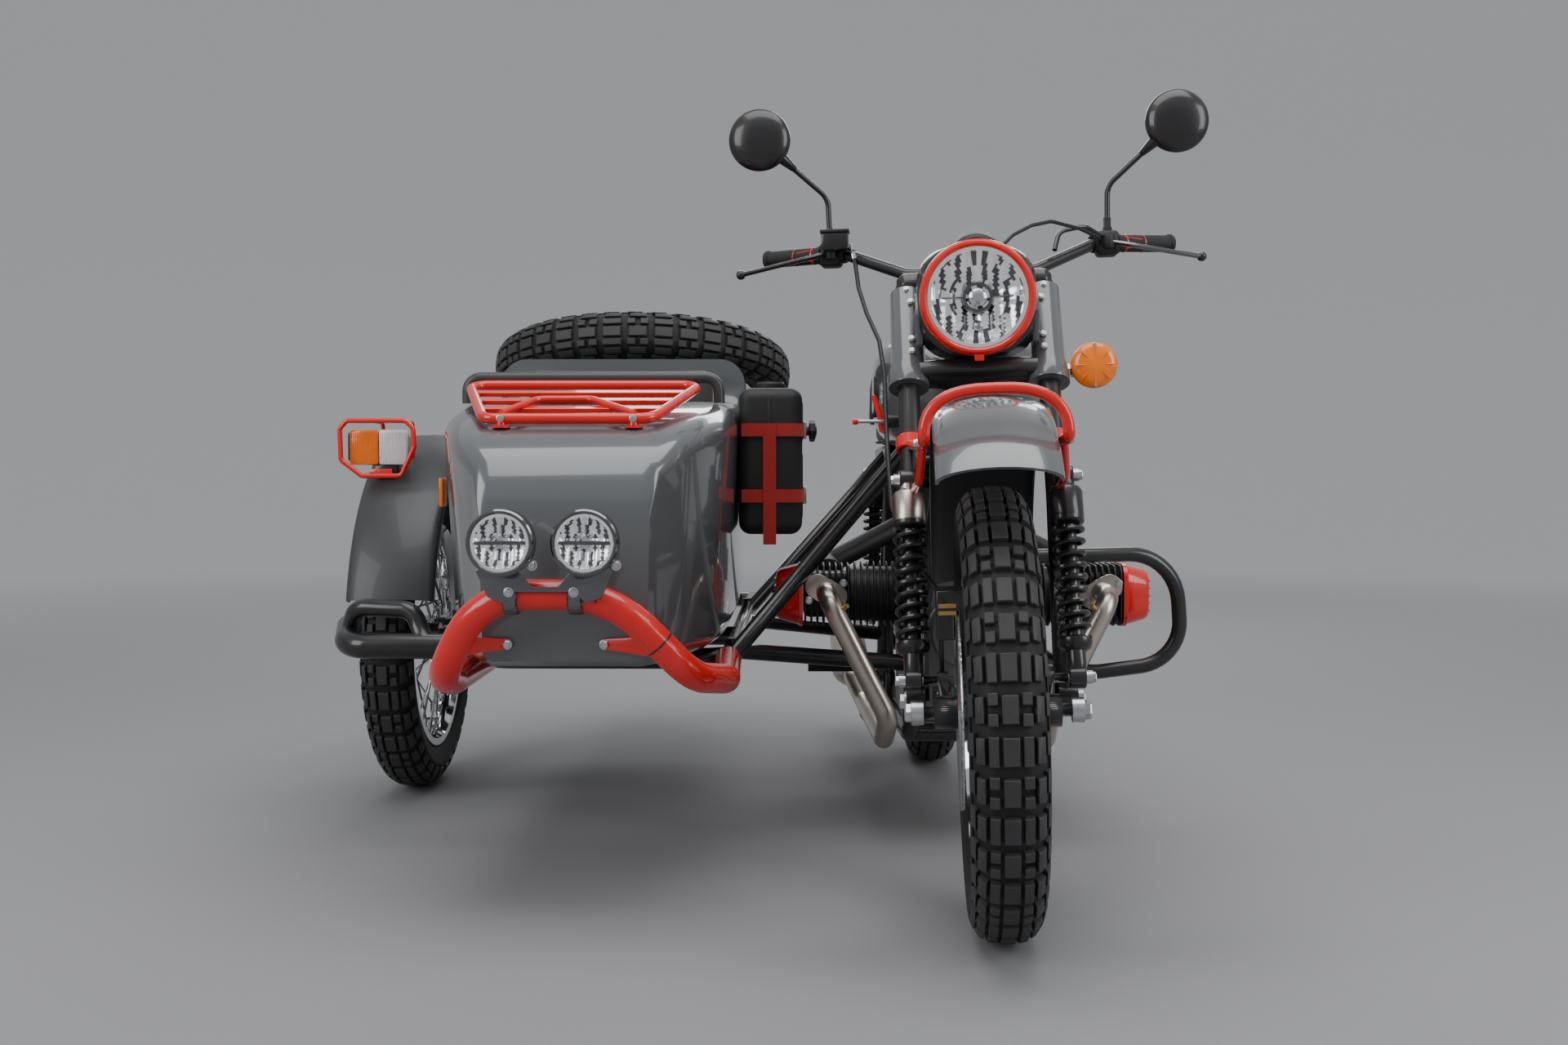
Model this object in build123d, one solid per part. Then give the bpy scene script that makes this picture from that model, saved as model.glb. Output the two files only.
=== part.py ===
from build123d import *
import math
import os

# Millimetres. x = 0 is the motorcycle's middle plane, y = 0 its rear axle and z = 0 the ground.
# It faces -Y: its left side is at +X, and the sidecar stands on its right side, at -X.

# Wheels
WHEELBASE = 1470.0
TRACK = 1150.0              # from the motorcycle's plane to the sidecar wheel's
SIDECAR_LEAD = 320.0        # sidecar wheel ahead of the rear axle
TYRE_RADIUS = 340.0         # over the lugs
TYRE_WIDTH = 112.0
RIM_RADIUS = 241.0          # bead seat of a 19 inch rim
RIM_WIDTH = 80.0            # between the flanges
RIM_DEPTH = 13.0
FLANGE_HEIGHT = 11.0
FLANGE_THICKNESS = 4.0
HUB_HALF = 60.0
HUB_RADIUS = 34.0
SPOKE_FLANGE_RADIUS = 60.0
SPOKE_FLANGE_X = 42.0
SPOKE_FLANGE_THICKNESS = 10.0
SPOKE_COUNT = 36
SPOKE_RADIUS = 2.8
SPOKE_LEAN = 38.0           # degrees between a spoke's two ends, seen along the axle
AXLE_RADIUS = 10.0
RUNNING = 0.05              # radial clearance of a shaft in its bore
SEAT = 0.3                  # gap where one piece sits on another

# Brakes
DISC_RADIUS = 147.0
DISC_THICKNESS = 5.0
DISC_X = -57.0
DISC_CENTRE_RADIUS = 78.0
DRUM_RADIUS = 96.0
DRUM_DEPTH = 24.0

# Steering
RAKE = 27.0
TRAIL = 60.0
REST_STEER = 4.0            # stored turned to the motorcycle's right
HEAD_Z = 925.0              # middle of the head tube
HEAD_LENGTH = 150.0
HEAD_RADIUS = 33.0
STEM_RADIUS = 18.0
CLAMP_THICKNESS = 28.0
CLAMP_BOSS = 30.0
LEG_X = 118.0
LEG_AHEAD = 50.0            # legs ahead of the steering axis
LEG_RADIUS = 18.5
LEG_TOP_Z = 1022.0
LEG_BEND_Z = 655.0
LINK_PIVOT_Y = -1300.0
LINK_PIVOT_Z = 332.0
LINK_X = 80.0
LINK_RADIUS = 15.0
LINK_BOSS_RADIUS = 25.0
LINK_LOOP_Y = -1096.0
PIVOT_PIN_RADIUS = 9.0

# Frame of the motorcycle
FRAME_TUBE_RADIUS = 16.0
RAIL_X = 100.0
RAIL_Z = 205.0
CRADLE_FRONT_Y = -930.0
CRADLE_REAR_Y = -330.0
CRADLE_REAR_X = 126.0
SUBFRAME_X = 105.0
SUBFRAME_Z = 735.0
SUBFRAME_END_Y = 190.0
SWING_PIVOT_Y = -420.0
SWING_PIVOT_Z = 330.0

# Engine
CASE_HALF_WIDTH = 110.0
CASE_FRONT_Y = -890.0
CASE_REAR_Y = -560.0
CASE_TOP_Z = 545.0
CYLINDER_Y = -800.0
CYLINDER_Z = 463.0
BARREL_END_X = 210.0
HEAD_END_X = 301.0
COVER_END_X = 352.0
GEARBOX_REAR_Y = -446.0

# Sidecar
CHASSIS_Z = 362.0
CHASSIS_RADIUS = 19.0
CHASSIS_INNER_X = -430.0
CHASSIS_OUTER_X = -880.0
CHASSIS_FRONT_Y = -1000.0
CHASSIS_REAR_Y = 250.0
TUB_X = -672.0              # middle plane of the sidecar's body
TUB_HALF_WIDTH = 253.0
TUB_WALL = 6.0
TUB_FLOOR_Z = 391.0
COWL_FRONT_Y = -548.0
COWL_REAR_Y = -490.0
COWL_TOP_Z = 926.0
LID_SLOPE = 12.5
LID_HINGE_Y = -474.0
TRUNK_TOP_Z = 864.0         # of the trunk, at the cowl
LID_THICKNESS = 9.0
LID_LENGTH = 800.0
LID_HALF_WIDTH = 222.0
SPARE_Y = -113.0
SPARE_Z = 920.0
BUMPER_RADIUS = 24.0
BUMPER_Y = -1450.0
BUMPER_TOP_Z = 514.0
FOG_LAMP_RADIUS = 51.0

FRONT_AXLE = Vector(0, -WHEELBASE, TYRE_RADIUS)
REAR_AXLE = Vector(0, 0, TYRE_RADIUS)
SIDECAR_AXLE = Vector(-TRACK, -SIDECAR_LEAD, TYRE_RADIUS)
SIN_RAKE = math.sin(math.radians(RAKE))
COS_RAKE = math.cos(math.radians(RAKE))


def steering_y(z):
    """Where the steering axis is at height z."""
    return -(WHEELBASE + TRAIL) + z * SIN_RAKE / COS_RAKE


STEERING_AXIS = Axis((0, steering_y(0), 0), (0, SIN_RAKE, COS_RAKE))
HEAD = Plane(origin=(0, steering_y(HEAD_Z), HEAD_Z), x_dir=(1, 0, 0), z_dir=(0, SIN_RAKE, COS_RAKE))


def joined(*pieces):
    """One node of pieces that are welded or cast together."""
    return Part() + list(pieces)


def loose(*pieces):
    """One node of like pieces that do not touch."""
    return Compound([solid for piece in pieces for solid in piece.solids()])


def rod(start, end, radius):
    """Round bar between two points."""
    start, end = Vector(start), Vector(end)
    return Solid.make_cylinder(radius, (end - start).length, Plane(origin=start, z_dir=end - start))


def bar(points, radius, bend):
    """Bent round bar through the points, with one bend radius."""
    path = FilletPolyline(*points, radius=bend)
    return sweep(Plane(origin=path @ 0, z_dir=path % 0) * Circle(radius), path=path)


def hoop(points, radius, bend):
    """Closed loop of round bar with rounded corners."""
    path = FilletPolyline(*points, radius=bend, close=True)
    return sweep(Plane(origin=path @ 0, z_dir=path % 0) * Circle(radius), path=path)


def block(x, y, z):
    """Box between two limits on each axis."""
    size = [high - low for low, high in (x, y, z)]
    middle = [(high + low) / 2 for low, high in (x, y, z)]
    return Pos(*middle) * Box(*size)


def turned(outline):
    """Solid of revolution about the X axis, from (x, radius) corners."""
    return revolve(make_face(Polyline(*outline, close=True)), axis=Axis.X)


def mirrored_pair(piece):
    """The piece and its mirror image across the motorcycle's plane."""
    return [piece, piece.mirror(Plane.YZ)]


def side_plate(outline, x, thickness):
    """Flat plate across the X axis, from (y, z) corners."""
    plane = Plane(origin=(x, 0, 0), x_dir=(0, 1, 0), z_dir=(1, 0, 0))
    return extrude(plane * make_face(Polyline(*outline, close=True)), amount=thickness)


def steered(piece):
    """The piece turned with the handlebar to its stored angle."""
    return piece.rotate(STEERING_AXIS, -REST_STEER)


# Wheels

def tyre():
    half = TYRE_WIDTH / 2
    bead = RIM_WIDTH / 2 - SEAT
    outline = [
        (bead, RIM_RADIUS + SEAT),
        (bead, RIM_RADIUS + FLANGE_HEIGHT + 2),
        (half - 2, TYRE_RADIUS - 66),
        (half, TYRE_RADIUS - 44),
        (half - 3, TYRE_RADIUS - 20),
        (half - 10, TYRE_RADIUS - 9),
        (half - 28, TYRE_RADIUS - 2),
        (10, TYRE_RADIUS),
    ]
    return turned(outline + [(-x, radius) for x, radius in reversed(outline)])


def spoke(side, angle, lean):
    """One spoke from the hub flange to the rim."""
    foot_x = side * (SPOKE_FLANGE_X + math.copysign(3, lean))
    foot_radius = SPOKE_FLANGE_RADIUS - 6
    tip_radius = RIM_RADIUS - RIM_DEPTH + 3
    foot_angle, tip_angle = math.radians(angle), math.radians(angle + lean)
    foot = Vector(foot_x, foot_radius * math.cos(foot_angle), foot_radius * math.sin(foot_angle))
    tip = Vector(side * 9, tip_radius * math.cos(tip_angle), tip_radius * math.sin(tip_angle))
    section = Plane(origin=foot, z_dir=tip - foot) * RegularPolygon(SPOKE_RADIUS, 4)
    return extrude(section, amount=(tip - foot).length)


def wheel_core():
    """Rim, hub and laced spokes of every wheel."""
    flange_x = RIM_WIDTH / 2 + FLANGE_THICKNESS
    rim = turned([
        (-flange_x, RIM_RADIUS - 4), (-flange_x, RIM_RADIUS + FLANGE_HEIGHT),
        (-RIM_WIDTH / 2, RIM_RADIUS + FLANGE_HEIGHT), (-RIM_WIDTH / 2, RIM_RADIUS),
        (RIM_WIDTH / 2, RIM_RADIUS), (RIM_WIDTH / 2, RIM_RADIUS + FLANGE_HEIGHT),
        (flange_x, RIM_RADIUS + FLANGE_HEIGHT), (flange_x, RIM_RADIUS - 4),
        (RIM_WIDTH / 4, RIM_RADIUS - RIM_DEPTH), (-RIM_WIDTH / 4, RIM_RADIUS - RIM_DEPTH),
    ])
    bore = AXLE_RADIUS + RUNNING
    inside = SPOKE_FLANGE_X - SPOKE_FLANGE_THICKNESS / 2
    outside = SPOKE_FLANGE_X + SPOKE_FLANGE_THICKNESS / 2
    hub = turned([
        (-HUB_HALF, bore), (-HUB_HALF, HUB_RADIUS), (-outside, HUB_RADIUS),
        (-outside, SPOKE_FLANGE_RADIUS), (-inside, SPOKE_FLANGE_RADIUS), (-inside, HUB_RADIUS),
        (inside, HUB_RADIUS), (inside, SPOKE_FLANGE_RADIUS), (outside, SPOKE_FLANGE_RADIUS),
        (outside, HUB_RADIUS), (HUB_HALF, HUB_RADIUS), (HUB_HALF, bore),
    ])
    spokes = []
    step = 720 / SPOKE_COUNT
    for number in range(SPOKE_COUNT // 2):
        lean = SPOKE_LEAN if number % 2 else -SPOKE_LEAN
        spokes.append(spoke(1, step * number, lean))
        spokes.append(spoke(-1, step * (number + 0.5), lean))
    return joined(rim, hub, *spokes)


def brake_disc():
    """Front brake disc with its carrier, on the hub's end."""
    half = DISC_THICKNESS / 2
    hub_face = -SPOKE_FLANGE_X - SPOKE_FLANGE_THICKNESS / 2
    return turned([
        (DISC_X - half, HUB_RADIUS - 1), (DISC_X - half, DISC_RADIUS),
        (DISC_X + half, DISC_RADIUS), (DISC_X + half, DISC_CENTRE_RADIUS - 30),
        (hub_face, DISC_CENTRE_RADIUS - 34), (hub_face, HUB_RADIUS - 1),
    ])


def brake_drum():
    """Brake drum around the hub, between its two flanges' outer faces."""
    face = SPOKE_FLANGE_X - SPOKE_FLANGE_THICKNESS / 2
    return turned([
        (-HUB_HALF + 1, HUB_RADIUS - 1), (-HUB_HALF + 1, DRUM_RADIUS - 6),
        (-HUB_HALF + 7, DRUM_RADIUS), (-HUB_HALF + DRUM_DEPTH, DRUM_RADIUS),
        (-face, SPOKE_FLANGE_RADIUS), (-face, HUB_RADIUS - 1),
    ])


# Steering

def fork():
    top = HEAD_LENGTH / 2 + SEAT
    stem = HEAD * Pos(0, 0, 0) * Cylinder(STEM_RADIUS, HEAD_LENGTH + 2 * CLAMP_THICKNESS)
    leg_y = -LEG_AHEAD * COS_RAKE
    reach = LEG_X + CLAMP_BOSS
    right = [(reach, leg_y - CLAMP_BOSS), (reach, leg_y + CLAMP_BOSS / 2), (60, leg_y + 30),
             (28, 20)]
    plan = make_face(Polyline(*right, *[(-x, y) for x, y in reversed(right)], close=True))
    upper = HEAD * extrude(Pos(0, 0, top) * plan, amount=CLAMP_THICKNESS)
    lower = HEAD * extrude(Pos(0, 0, -top) * plan, amount=-CLAMP_THICKNESS)
    legs = []
    for side in (-1, 1):
        x = side * LEG_X
        legs.append(bar([
            (x, steering_y(LEG_TOP_Z) - LEG_AHEAD, LEG_TOP_Z),
            (x, steering_y(LEG_BEND_Z) - LEG_AHEAD, LEG_BEND_Z),
            (x, LINK_PIVOT_Y, LINK_PIVOT_Z),
        ], LEG_RADIUS, 160))
        y, z = SHOCK_EYES["front top"]
        leg_y_here = steering_y(z) - LEG_AHEAD
        legs.append(side_plate([(leg_y_here, z - 24), (leg_y_here - 6, z + 24),
                                (y - 10, z + 12), (y - 10, z - 14)],
                               side * (LEG_X - 11.5) - 3.5, 7))
        legs.append(shock_pin(LEG_X - 15, side, "front top"))
        boss_inner = side * (LINK_X + LINK_RADIUS + SEAT)
        boss_outer = side * (LEG_X + LEG_RADIUS)
        pin_inner = side * (LINK_X - LINK_RADIUS)
        pivot = (LINK_PIVOT_Y, LINK_PIVOT_Z)
        legs.append(rod((boss_inner, *pivot), (boss_outer, *pivot), LINK_BOSS_RADIUS))
        legs.append(rod((pin_inner, *pivot), (boss_outer, *pivot), PIVOT_PIN_RADIUS))
    return joined(stem, upper, lower, *legs)


def front_swing_arm():
    """Leading arms that carry the front axle, joined by a loop behind the wheel."""
    axle_y, axle_z = -WHEELBASE, TYRE_RADIUS
    loop = bar([
        (-LINK_X, axle_y, axle_z), (-LINK_X, LINK_LOOP_Y, LINK_PIVOT_Z),
        (LINK_X, LINK_LOOP_Y, LINK_PIVOT_Z), (LINK_X, axle_y, axle_z),
    ], LINK_RADIUS, 70)
    pieces = [loop]
    for side in (-1, 1):
        inner = side * (LINK_X - LINK_RADIUS)
        outer = side * (LINK_X + LINK_RADIUS)
        pieces.append(rod((inner, LINK_PIVOT_Y, LINK_PIVOT_Z), (outer, LINK_PIVOT_Y, LINK_PIVOT_Z),
                          LINK_BOSS_RADIUS))
        pieces.append(rod((side * (HUB_HALF + SEAT), axle_y, axle_z), (outer, axle_y, axle_z),
                          LINK_BOSS_RADIUS))
        y, z = SHOCK_EYES["front bottom"]
        pieces.append(block((side * LINK_X - 8, side * LINK_X + 8), (y - 15, y + 15),
                            (axle_z, z + 12)))
        pieces.append(shock_pin(LINK_X, side, "front bottom"))
    axle = rod((-LINK_X - 45, axle_y, axle_z), (LINK_X + 45, axle_y, axle_z), AXLE_RADIUS)
    pin_hole = rod((-LEG_X, LINK_PIVOT_Y, LINK_PIVOT_Z), (LEG_X, LINK_PIVOT_Y, LINK_PIVOT_Z),
                   PIVOT_PIN_RADIUS + SEAT)
    return joined(*pieces) - pin_hole + axle


def shock(x, bottom, top):
    """Spring and damper between two eyes, given as (y, z)."""
    foot, head = Vector(x, *bottom), Vector(x, *top)
    along = (head - foot).normalized()
    spring_low, spring_high = foot + along * 45, head - along * 30
    reach = Vector(SHOCK_EYE_HALF, 0, 0)
    body = joined(
        rod(foot + along * 14, spring_low, SHOCK_RADIUS * 0.55),
        rod(spring_low, spring_high, SHOCK_RADIUS),
        rod(spring_high, head - along * 12, SHOCK_RADIUS * 0.5),
        rod(foot - reach, foot + reach, SHOCK_EYE_RADIUS),
        rod(head - reach, head + reach, SHOCK_EYE_RADIUS),
    )
    for eye in (foot, head):
        body -= rod(eye - reach * 2, eye + reach * 2, SHOCK_PIN_RADIUS + SEAT)
    return body


def shock_pin(inner_x, side, eye):
    """Pin through a shock's eye at (y, z), from inner_x outwards."""
    outer = SHOCK_X[eye] + SHOCK_EYE_HALF + 8
    y, z = SHOCK_EYES[eye]
    return rod((side * inner_x, y, z), (side * outer, y, z), SHOCK_PIN_RADIUS)


def arch(centre, inner, width, low, high, skirt):
    """Wheel fender about an X axis, from angle low to high, counted from the rear over the top."""
    half = width / 2
    outer = inner + FENDER_SHEET
    right = [(half - 22, outer), (half, inner - 8), (half, inner - skirt),
             (half - FENDER_SHEET, inner - skirt), (half - FENDER_SHEET, inner - 9),
             (half - 23, inner)]
    section = make_face(Polyline(*right, *[(-x, r) for x, r in reversed(right)], close=True))
    sheet = revolve(section, axis=Axis.X, revolution_arc=high - low)
    return Pos(*centre) * Rot(low, 0, 0) * sheet


def front_fender():
    centre = (0, FRONT_FENDER_Y, FRONT_FENDER_Z)
    body = arch(centre, FRONT_FENDER_RADIUS, FRONT_FENDER_WIDTH, 15, 132, 26)
    leg_y = steering_y(FENDER_TAB_Z) - LEG_AHEAD
    inner = FRONT_FENDER_WIDTH / 2 - FENDER_SHEET / 2
    for side in (-1, 1):
        body += rod((side * inner, leg_y, FENDER_TAB_Z), (side * LEG_X, leg_y, FENDER_TAB_Z), 7)
        body -= leg_cutter(side, FENDER_TAB_Z, LEG_RADIUS + SEAT)
    return body


def leg_cutter(side, z, radius):
    """Bar along the upper fork leg about height z, to cut what sits on the leg."""
    middle = Vector(side * LEG_X, steering_y(z) - LEG_AHEAD, z)
    along = Vector(0, SIN_RAKE, COS_RAKE) * 60
    return rod(middle - along, middle + along, radius)


def front_fender_guard():
    """Hoop round the front of the fender, carried by stays from the fork legs."""
    x = FRONT_FENDER_WIDTH / 2 + GUARD_RADIUS + 4
    leg_y = steering_y(GUARD_LEG_Z) - LEG_AHEAD
    hoop = bar([
        (LEG_X, leg_y - LEG_RADIUS - 4, GUARD_LEG_Z), (x, -1440, 743), (x, GUARD_HOOP_Y, 752),
        (x, GUARD_HOOP_Y, 815), (-x, GUARD_HOOP_Y, 815), (-x, GUARD_HOOP_Y, 752),
        (-x, -1440, 743), (-LEG_X, leg_y - LEG_RADIUS - 4, GUARD_LEG_Z),
    ], GUARD_RADIUS, 26)
    along = Vector(0, SIN_RAKE, COS_RAKE)
    clamps = [Vector(side * LEG_X, leg_y, GUARD_LEG_Z) for side in (-1, 1)]
    body = joined(hoop, *[rod(p - along * 12, p + along * 12, LEG_RADIUS + 6) for p in clamps])
    for side in (-1, 1):
        body -= leg_cutter(side, GUARD_LEG_Z, LEG_RADIUS + SEAT)
    return body


def fork_shrouds():
    """Painted covers round the upper legs, with ears that hold the headlamp."""
    half = HEAD_LENGTH / 2 - 2
    leg_y = -LEG_AHEAD * COS_RAKE
    ear_width = LEG_X - 14 - BUCKET_RADIUS
    covers = []
    for side in (-1, 1):
        tube = Pos(side * LEG_X, leg_y, 0) * Cylinder(LEG_RADIUS + 11, 2 * half)
        ear = Pos(side * (BUCKET_RADIUS + SEAT + ear_width / 2), leg_y - 34, 12) \
            * Box(ear_width, 60, 90)
        bore = Pos(side * LEG_X, leg_y, 0) * Cylinder(LEG_RADIUS + SEAT, 2 * HEAD_LENGTH)
        covers.append(HEAD * (tube + ear - bore))
    return loose(*covers)


def lamp_turned(outline):
    """Solid of revolution about the headlamp's axis, from (radius, depth behind its face)."""
    return Pos(0, HEADLAMP_Y, HEADLAMP_Z) * revolve(
        make_face(Polyline(*outline, close=True)), axis=Axis.Y)


def headlamp_shell():
    """Bucket behind the lamp with the instrument hump on top."""
    depth = HEADLAMP_RIM_DEPTH + SEAT
    bucket = lamp_turned([
        (0, depth), (BUCKET_RADIUS, depth), (BUCKET_RADIUS, depth + 40),
        (HEADLAMP_RADIUS - 24, depth + 58), (40, depth + 76), (0, depth + 78)])
    hump = Pos(0, HEADLAMP_Y + depth + 34, HEADLAMP_Z + HEADLAMP_RADIUS - 10) * Box(104, 60, 44)
    return bucket + hump


def headlamp_rim():
    return lamp_turned([
        (HEADLAMP_RADIUS - 14, 0), (HEADLAMP_RADIUS - 4, 0), (HEADLAMP_RADIUS, 8),
        (HEADLAMP_RADIUS, HEADLAMP_RIM_DEPTH), (HEADLAMP_RADIUS - 14, HEADLAMP_RIM_DEPTH)])


def headlamp_lens():
    edge = HEADLAMP_RADIUS - 14 - SEAT
    return lamp_turned([(0, -6), (50, -3), (edge, 4), (edge, HEADLAMP_RIM_DEPTH),
                        (0, HEADLAMP_RIM_DEPTH)])


GRIP_END = Vector(378, -805, 1112)
BAR_ELBOW = Vector(232, -872, 1110)
BAR_MIDDLE = Vector(116, -965, 1056)
BAR_CLAMP = Vector(52, -990, 1050)


def flipped(point, side):
    """The point on the left (side 1) or its mirror image on the right (side -1)."""
    return Vector(side * point.X, point.Y, point.Z)


def handlebar():
    """Bent tube on two risers of the upper clamp."""
    half = [GRIP_END, BAR_ELBOW, BAR_MIDDLE]
    ends = [flipped(point, -1) for point in reversed(half)]
    middle = [BAR_CLAMP, flipped(BAR_CLAMP, -1)]
    tube = bar(half + middle + ends, BAR_RADIUS, 30)
    height = HEAD_LENGTH / 2 + CLAMP_THICKNESS + 2 * SEAT
    risers = []
    for side in (-1, 1):
        foot = (HEAD * Pos(side * BAR_CLAMP.X, 6, height)).position
        risers.append(rod(foot, flipped(BAR_CLAMP, side), 15))
    block_off = HEAD * Pos(0, 0, height - 50) * Box(300, 200, 100)
    return joined(tube, *risers) - block_off


def on_bar(side, distance):
    """Point on the grip's axis, at a distance in from the bar's end."""
    along = (BAR_ELBOW - GRIP_END).normalized()
    return flipped(GRIP_END + along * distance, side)


def hand_controls():
    """Grips, perches and levers."""
    controls = []
    for side in (-1, 1):
        grip = rod(on_bar(side, -4), on_bar(side, 118), GRIP_RADIUS) \
            - rod(on_bar(side, -SEAT), on_bar(side, 150), BAR_RADIUS + SEAT)
        pivot = on_bar(side, 136) + Vector(0, -20, 0)
        tip = Vector(side * 425, -872, 1078)
        perch = joined(rod(on_bar(side, 119), on_bar(side, 150), 19), rod(pivot, tip, 6),
                       Pos(*tip) * Sphere(9))
        controls += [grip, perch - rod(on_bar(side, 90), on_bar(side, 170), BAR_RADIUS + SEAT)]
    return loose(*controls)


def mirrors():
    pair = []
    base = on_bar(1, 134) + Vector(0, 0, 19 + 2 * SEAT)
    for side in (-1, 1):
        stalk = bar([
            flipped(base, side), Vector(side * (base.X + 2), base.Y, 1216),
            Vector(side * 378, -925, 1318),
        ], 6, 30)
        shell = Pos(side * 378, -925, 1318) * Rot(90, 0, 0) * Cylinder(MIRROR_RADIUS, 24)
        pair.append(stalk + shell)
    return loose(*pair)


def brake_caliper():
    """Caliper astride the disc, on a bracket from the leading arm."""
    y, z = -WHEELBASE + 70, TYRE_RADIUS + 148
    body = block((DISC_X - 30, DISC_X + 18), (y - 45, y + 45), (z - 42, z + 34))
    low, high = DISC_X - DISC_THICKNESS / 2 - 1, DISC_X + DISC_THICKNESS / 2 + 1
    slot = Pos(*FRONT_AXLE) * turned([
        (low, 20), (low, DISC_RADIUS + 6), (high, DISC_RADIUS + 6), (high, 20)])
    arm_top = TYRE_RADIUS + LINK_RADIUS + SEAT
    plate = side_plate([(y - 12, arm_top), (y + 24, arm_top), (y + 40, z), (y - 30, z)],
                       -LINK_X - 4, 7)
    return body - slot + plate


def turn_signal():
    """Round lamp on a stalk from the left end of the lower clamp."""
    x, y, z = SIGNAL_AT
    lamp = Pos(x, y, z) * Rot(90, 0, 0) * Cylinder(SIGNAL_RADIUS, 46)
    clamp_end = LEG_X + CLAMP_BOSS + SEAT
    return lamp + rod((clamp_end, y + 10, z - 7), (x, y + 10, z - 7), 7)


# Frame and engine of the motorcycle

def on_head(offset):
    """Point on the steering axis, offset along it from the head tube's middle."""
    return Vector(0, steering_y(HEAD_Z) + offset * SIN_RAKE, HEAD_Z + offset * COS_RAKE)


def backbone(clearance):
    """Main tube from the head to the seat, under the tank."""
    return bar([on_head(-20), *BACKBONE], FRAME_TUBE_RADIUS + 3 + clearance, 300)


def cradle_side(side, clearance):
    """One side of the frame: down tube, lower rail, rear upright and seat rail."""
    top = on_head(-10)
    rail = side * RAIL_X
    return bar([
        (side * 24, top.Y, top.Z), (rail, CRADLE_FRONT_Y, 330), (rail, -890, RAIL_Z),
        (side * CRADLE_REAR_X, CRADLE_REAR_Y, RAIL_Z),
        (side * SUBFRAME_X, CRADLE_REAR_Y + 12, SUBFRAME_Z),
        (side * SUBFRAME_X, SUBFRAME_END_Y, SUBFRAME_Z),
    ], FRAME_TUBE_RADIUS + clearance, 42)


def main_frame():
    pieces = [HEAD * Cylinder(HEAD_RADIUS, HEAD_LENGTH), backbone(0)]
    rear_y, rear_z = SHOCK_EYES["rear top"]
    for side in (-1, 1):
        seat_rail = side * SUBFRAME_X
        pieces.append(cradle_side(side, 0))
        pieces.append(rod((0, BACKBONE[-1][1] - 10, SUBFRAME_Z),
                          (seat_rail, CRADLE_REAR_Y + 50, SUBFRAME_Z), FRAME_TUBE_RADIUS - 3))
        pieces.append(side_plate([
            (SWING_PIVOT_Y - 30, SWING_PIVOT_Z - 26), (SWING_PIVOT_Y - 30, SWING_PIVOT_Z + 26),
            (CRADLE_REAR_Y + 6, SWING_PIVOT_Z + 50), (CRADLE_REAR_Y + 6, SWING_PIVOT_Z - 50)],
            side * SWING_PLATE_X - 4, 8))
        pieces.append(shock_pin(SUBFRAME_X, side, "rear top"))
        pieces.append(block((seat_rail - 12, seat_rail + 12), (rear_y - 20, rear_y + 20),
                            (rear_z - 18, SUBFRAME_Z)))
    for x, y, z in ((CRADLE_REAR_X, CRADLE_REAR_Y, RAIL_Z), (RAIL_X, -872, RAIL_Z),
                    (SUBFRAME_X, SUBFRAME_END_Y, SUBFRAME_Z)):
        pieces.append(rod((-x, y, z), (x, y, z), FRAME_TUBE_RADIUS - 2))
    pieces.append(rod((-SWING_PLATE_X, SWING_PIVOT_Y, SWING_PIVOT_Z),
                      (SWING_PLATE_X, SWING_PIVOT_Y, SWING_PIVOT_Z), PIVOT_PIN_RADIUS + 2))
    stem_hole = HEAD * Cylinder(STEM_RADIUS + RUNNING, HEAD_LENGTH + 1)
    return joined(*pieces) - stem_hole


def engine_case():
    """Crankcase on the cradle, gearbox behind it and the round cover in front."""
    bottom = RAIL_Z + FRAME_TUBE_RADIUS + SEAT
    side_low = CYLINDER_Z - 70
    case = joined(
        block((-CASE_HALF_WIDTH, CASE_HALF_WIDTH), (CASE_FRONT_Y, CASE_REAR_Y),
              (side_low, CASE_TOP_Z - 20)),
        block((-CASE_HALF_WIDTH, CASE_HALF_WIDTH), (CASE_FRONT_Y + 50, CASE_REAR_Y),
              (bottom, side_low)),
        block((-60, 60), (CASE_FRONT_Y + 40, CASE_REAR_Y - 20), (CASE_TOP_Z - 20, CASE_TOP_Z + 20)),
        block((-78, 78), (CASE_REAR_Y, GEARBOX_REAR_Y), (bottom + 30, CASE_TOP_Z - 90)),
        rod((0, CASE_FRONT_Y, 400), (0, CASE_FRONT_Y - 24, 400), 66),
    )
    for side in (-1, 1):
        case -= rod((side * RAIL_X, CRADLE_FRONT_Y, 330), (side * RAIL_X, -890, RAIL_Z),
                    FRAME_TUBE_RADIUS + 14)
    return case


def engine_cylinders():
    """Finned barrels and heads."""
    start = CASE_HALF_WIDTH + SEAT
    outline = [(start, 0), (start, BARREL_RADIUS)]
    x = start + 8
    while x < BARREL_END_X - FIN_PITCH:
        outline += [(x, BARREL_RADIUS), (x, FIN_RADIUS), (x + 4, FIN_RADIUS), (x + 4, BARREL_RADIUS)]
        x += FIN_PITCH
    outline += [(BARREL_END_X, BARREL_RADIUS), (BARREL_END_X, 0)]
    barrel = Pos(0, CYLINDER_Y, CYLINDER_Z) * turned(outline)
    head = block((BARREL_END_X, HEAD_END_X),
                 (CYLINDER_Y - HEAD_HALF_DEPTH, CYLINDER_Y + HEAD_HALF_DEPTH),
                 (CYLINDER_Z - HEAD_HALF_HEIGHT, CYLINDER_Z + HEAD_HALF_HEIGHT))
    return loose(*mirrored_pair(barrel + head))


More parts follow.
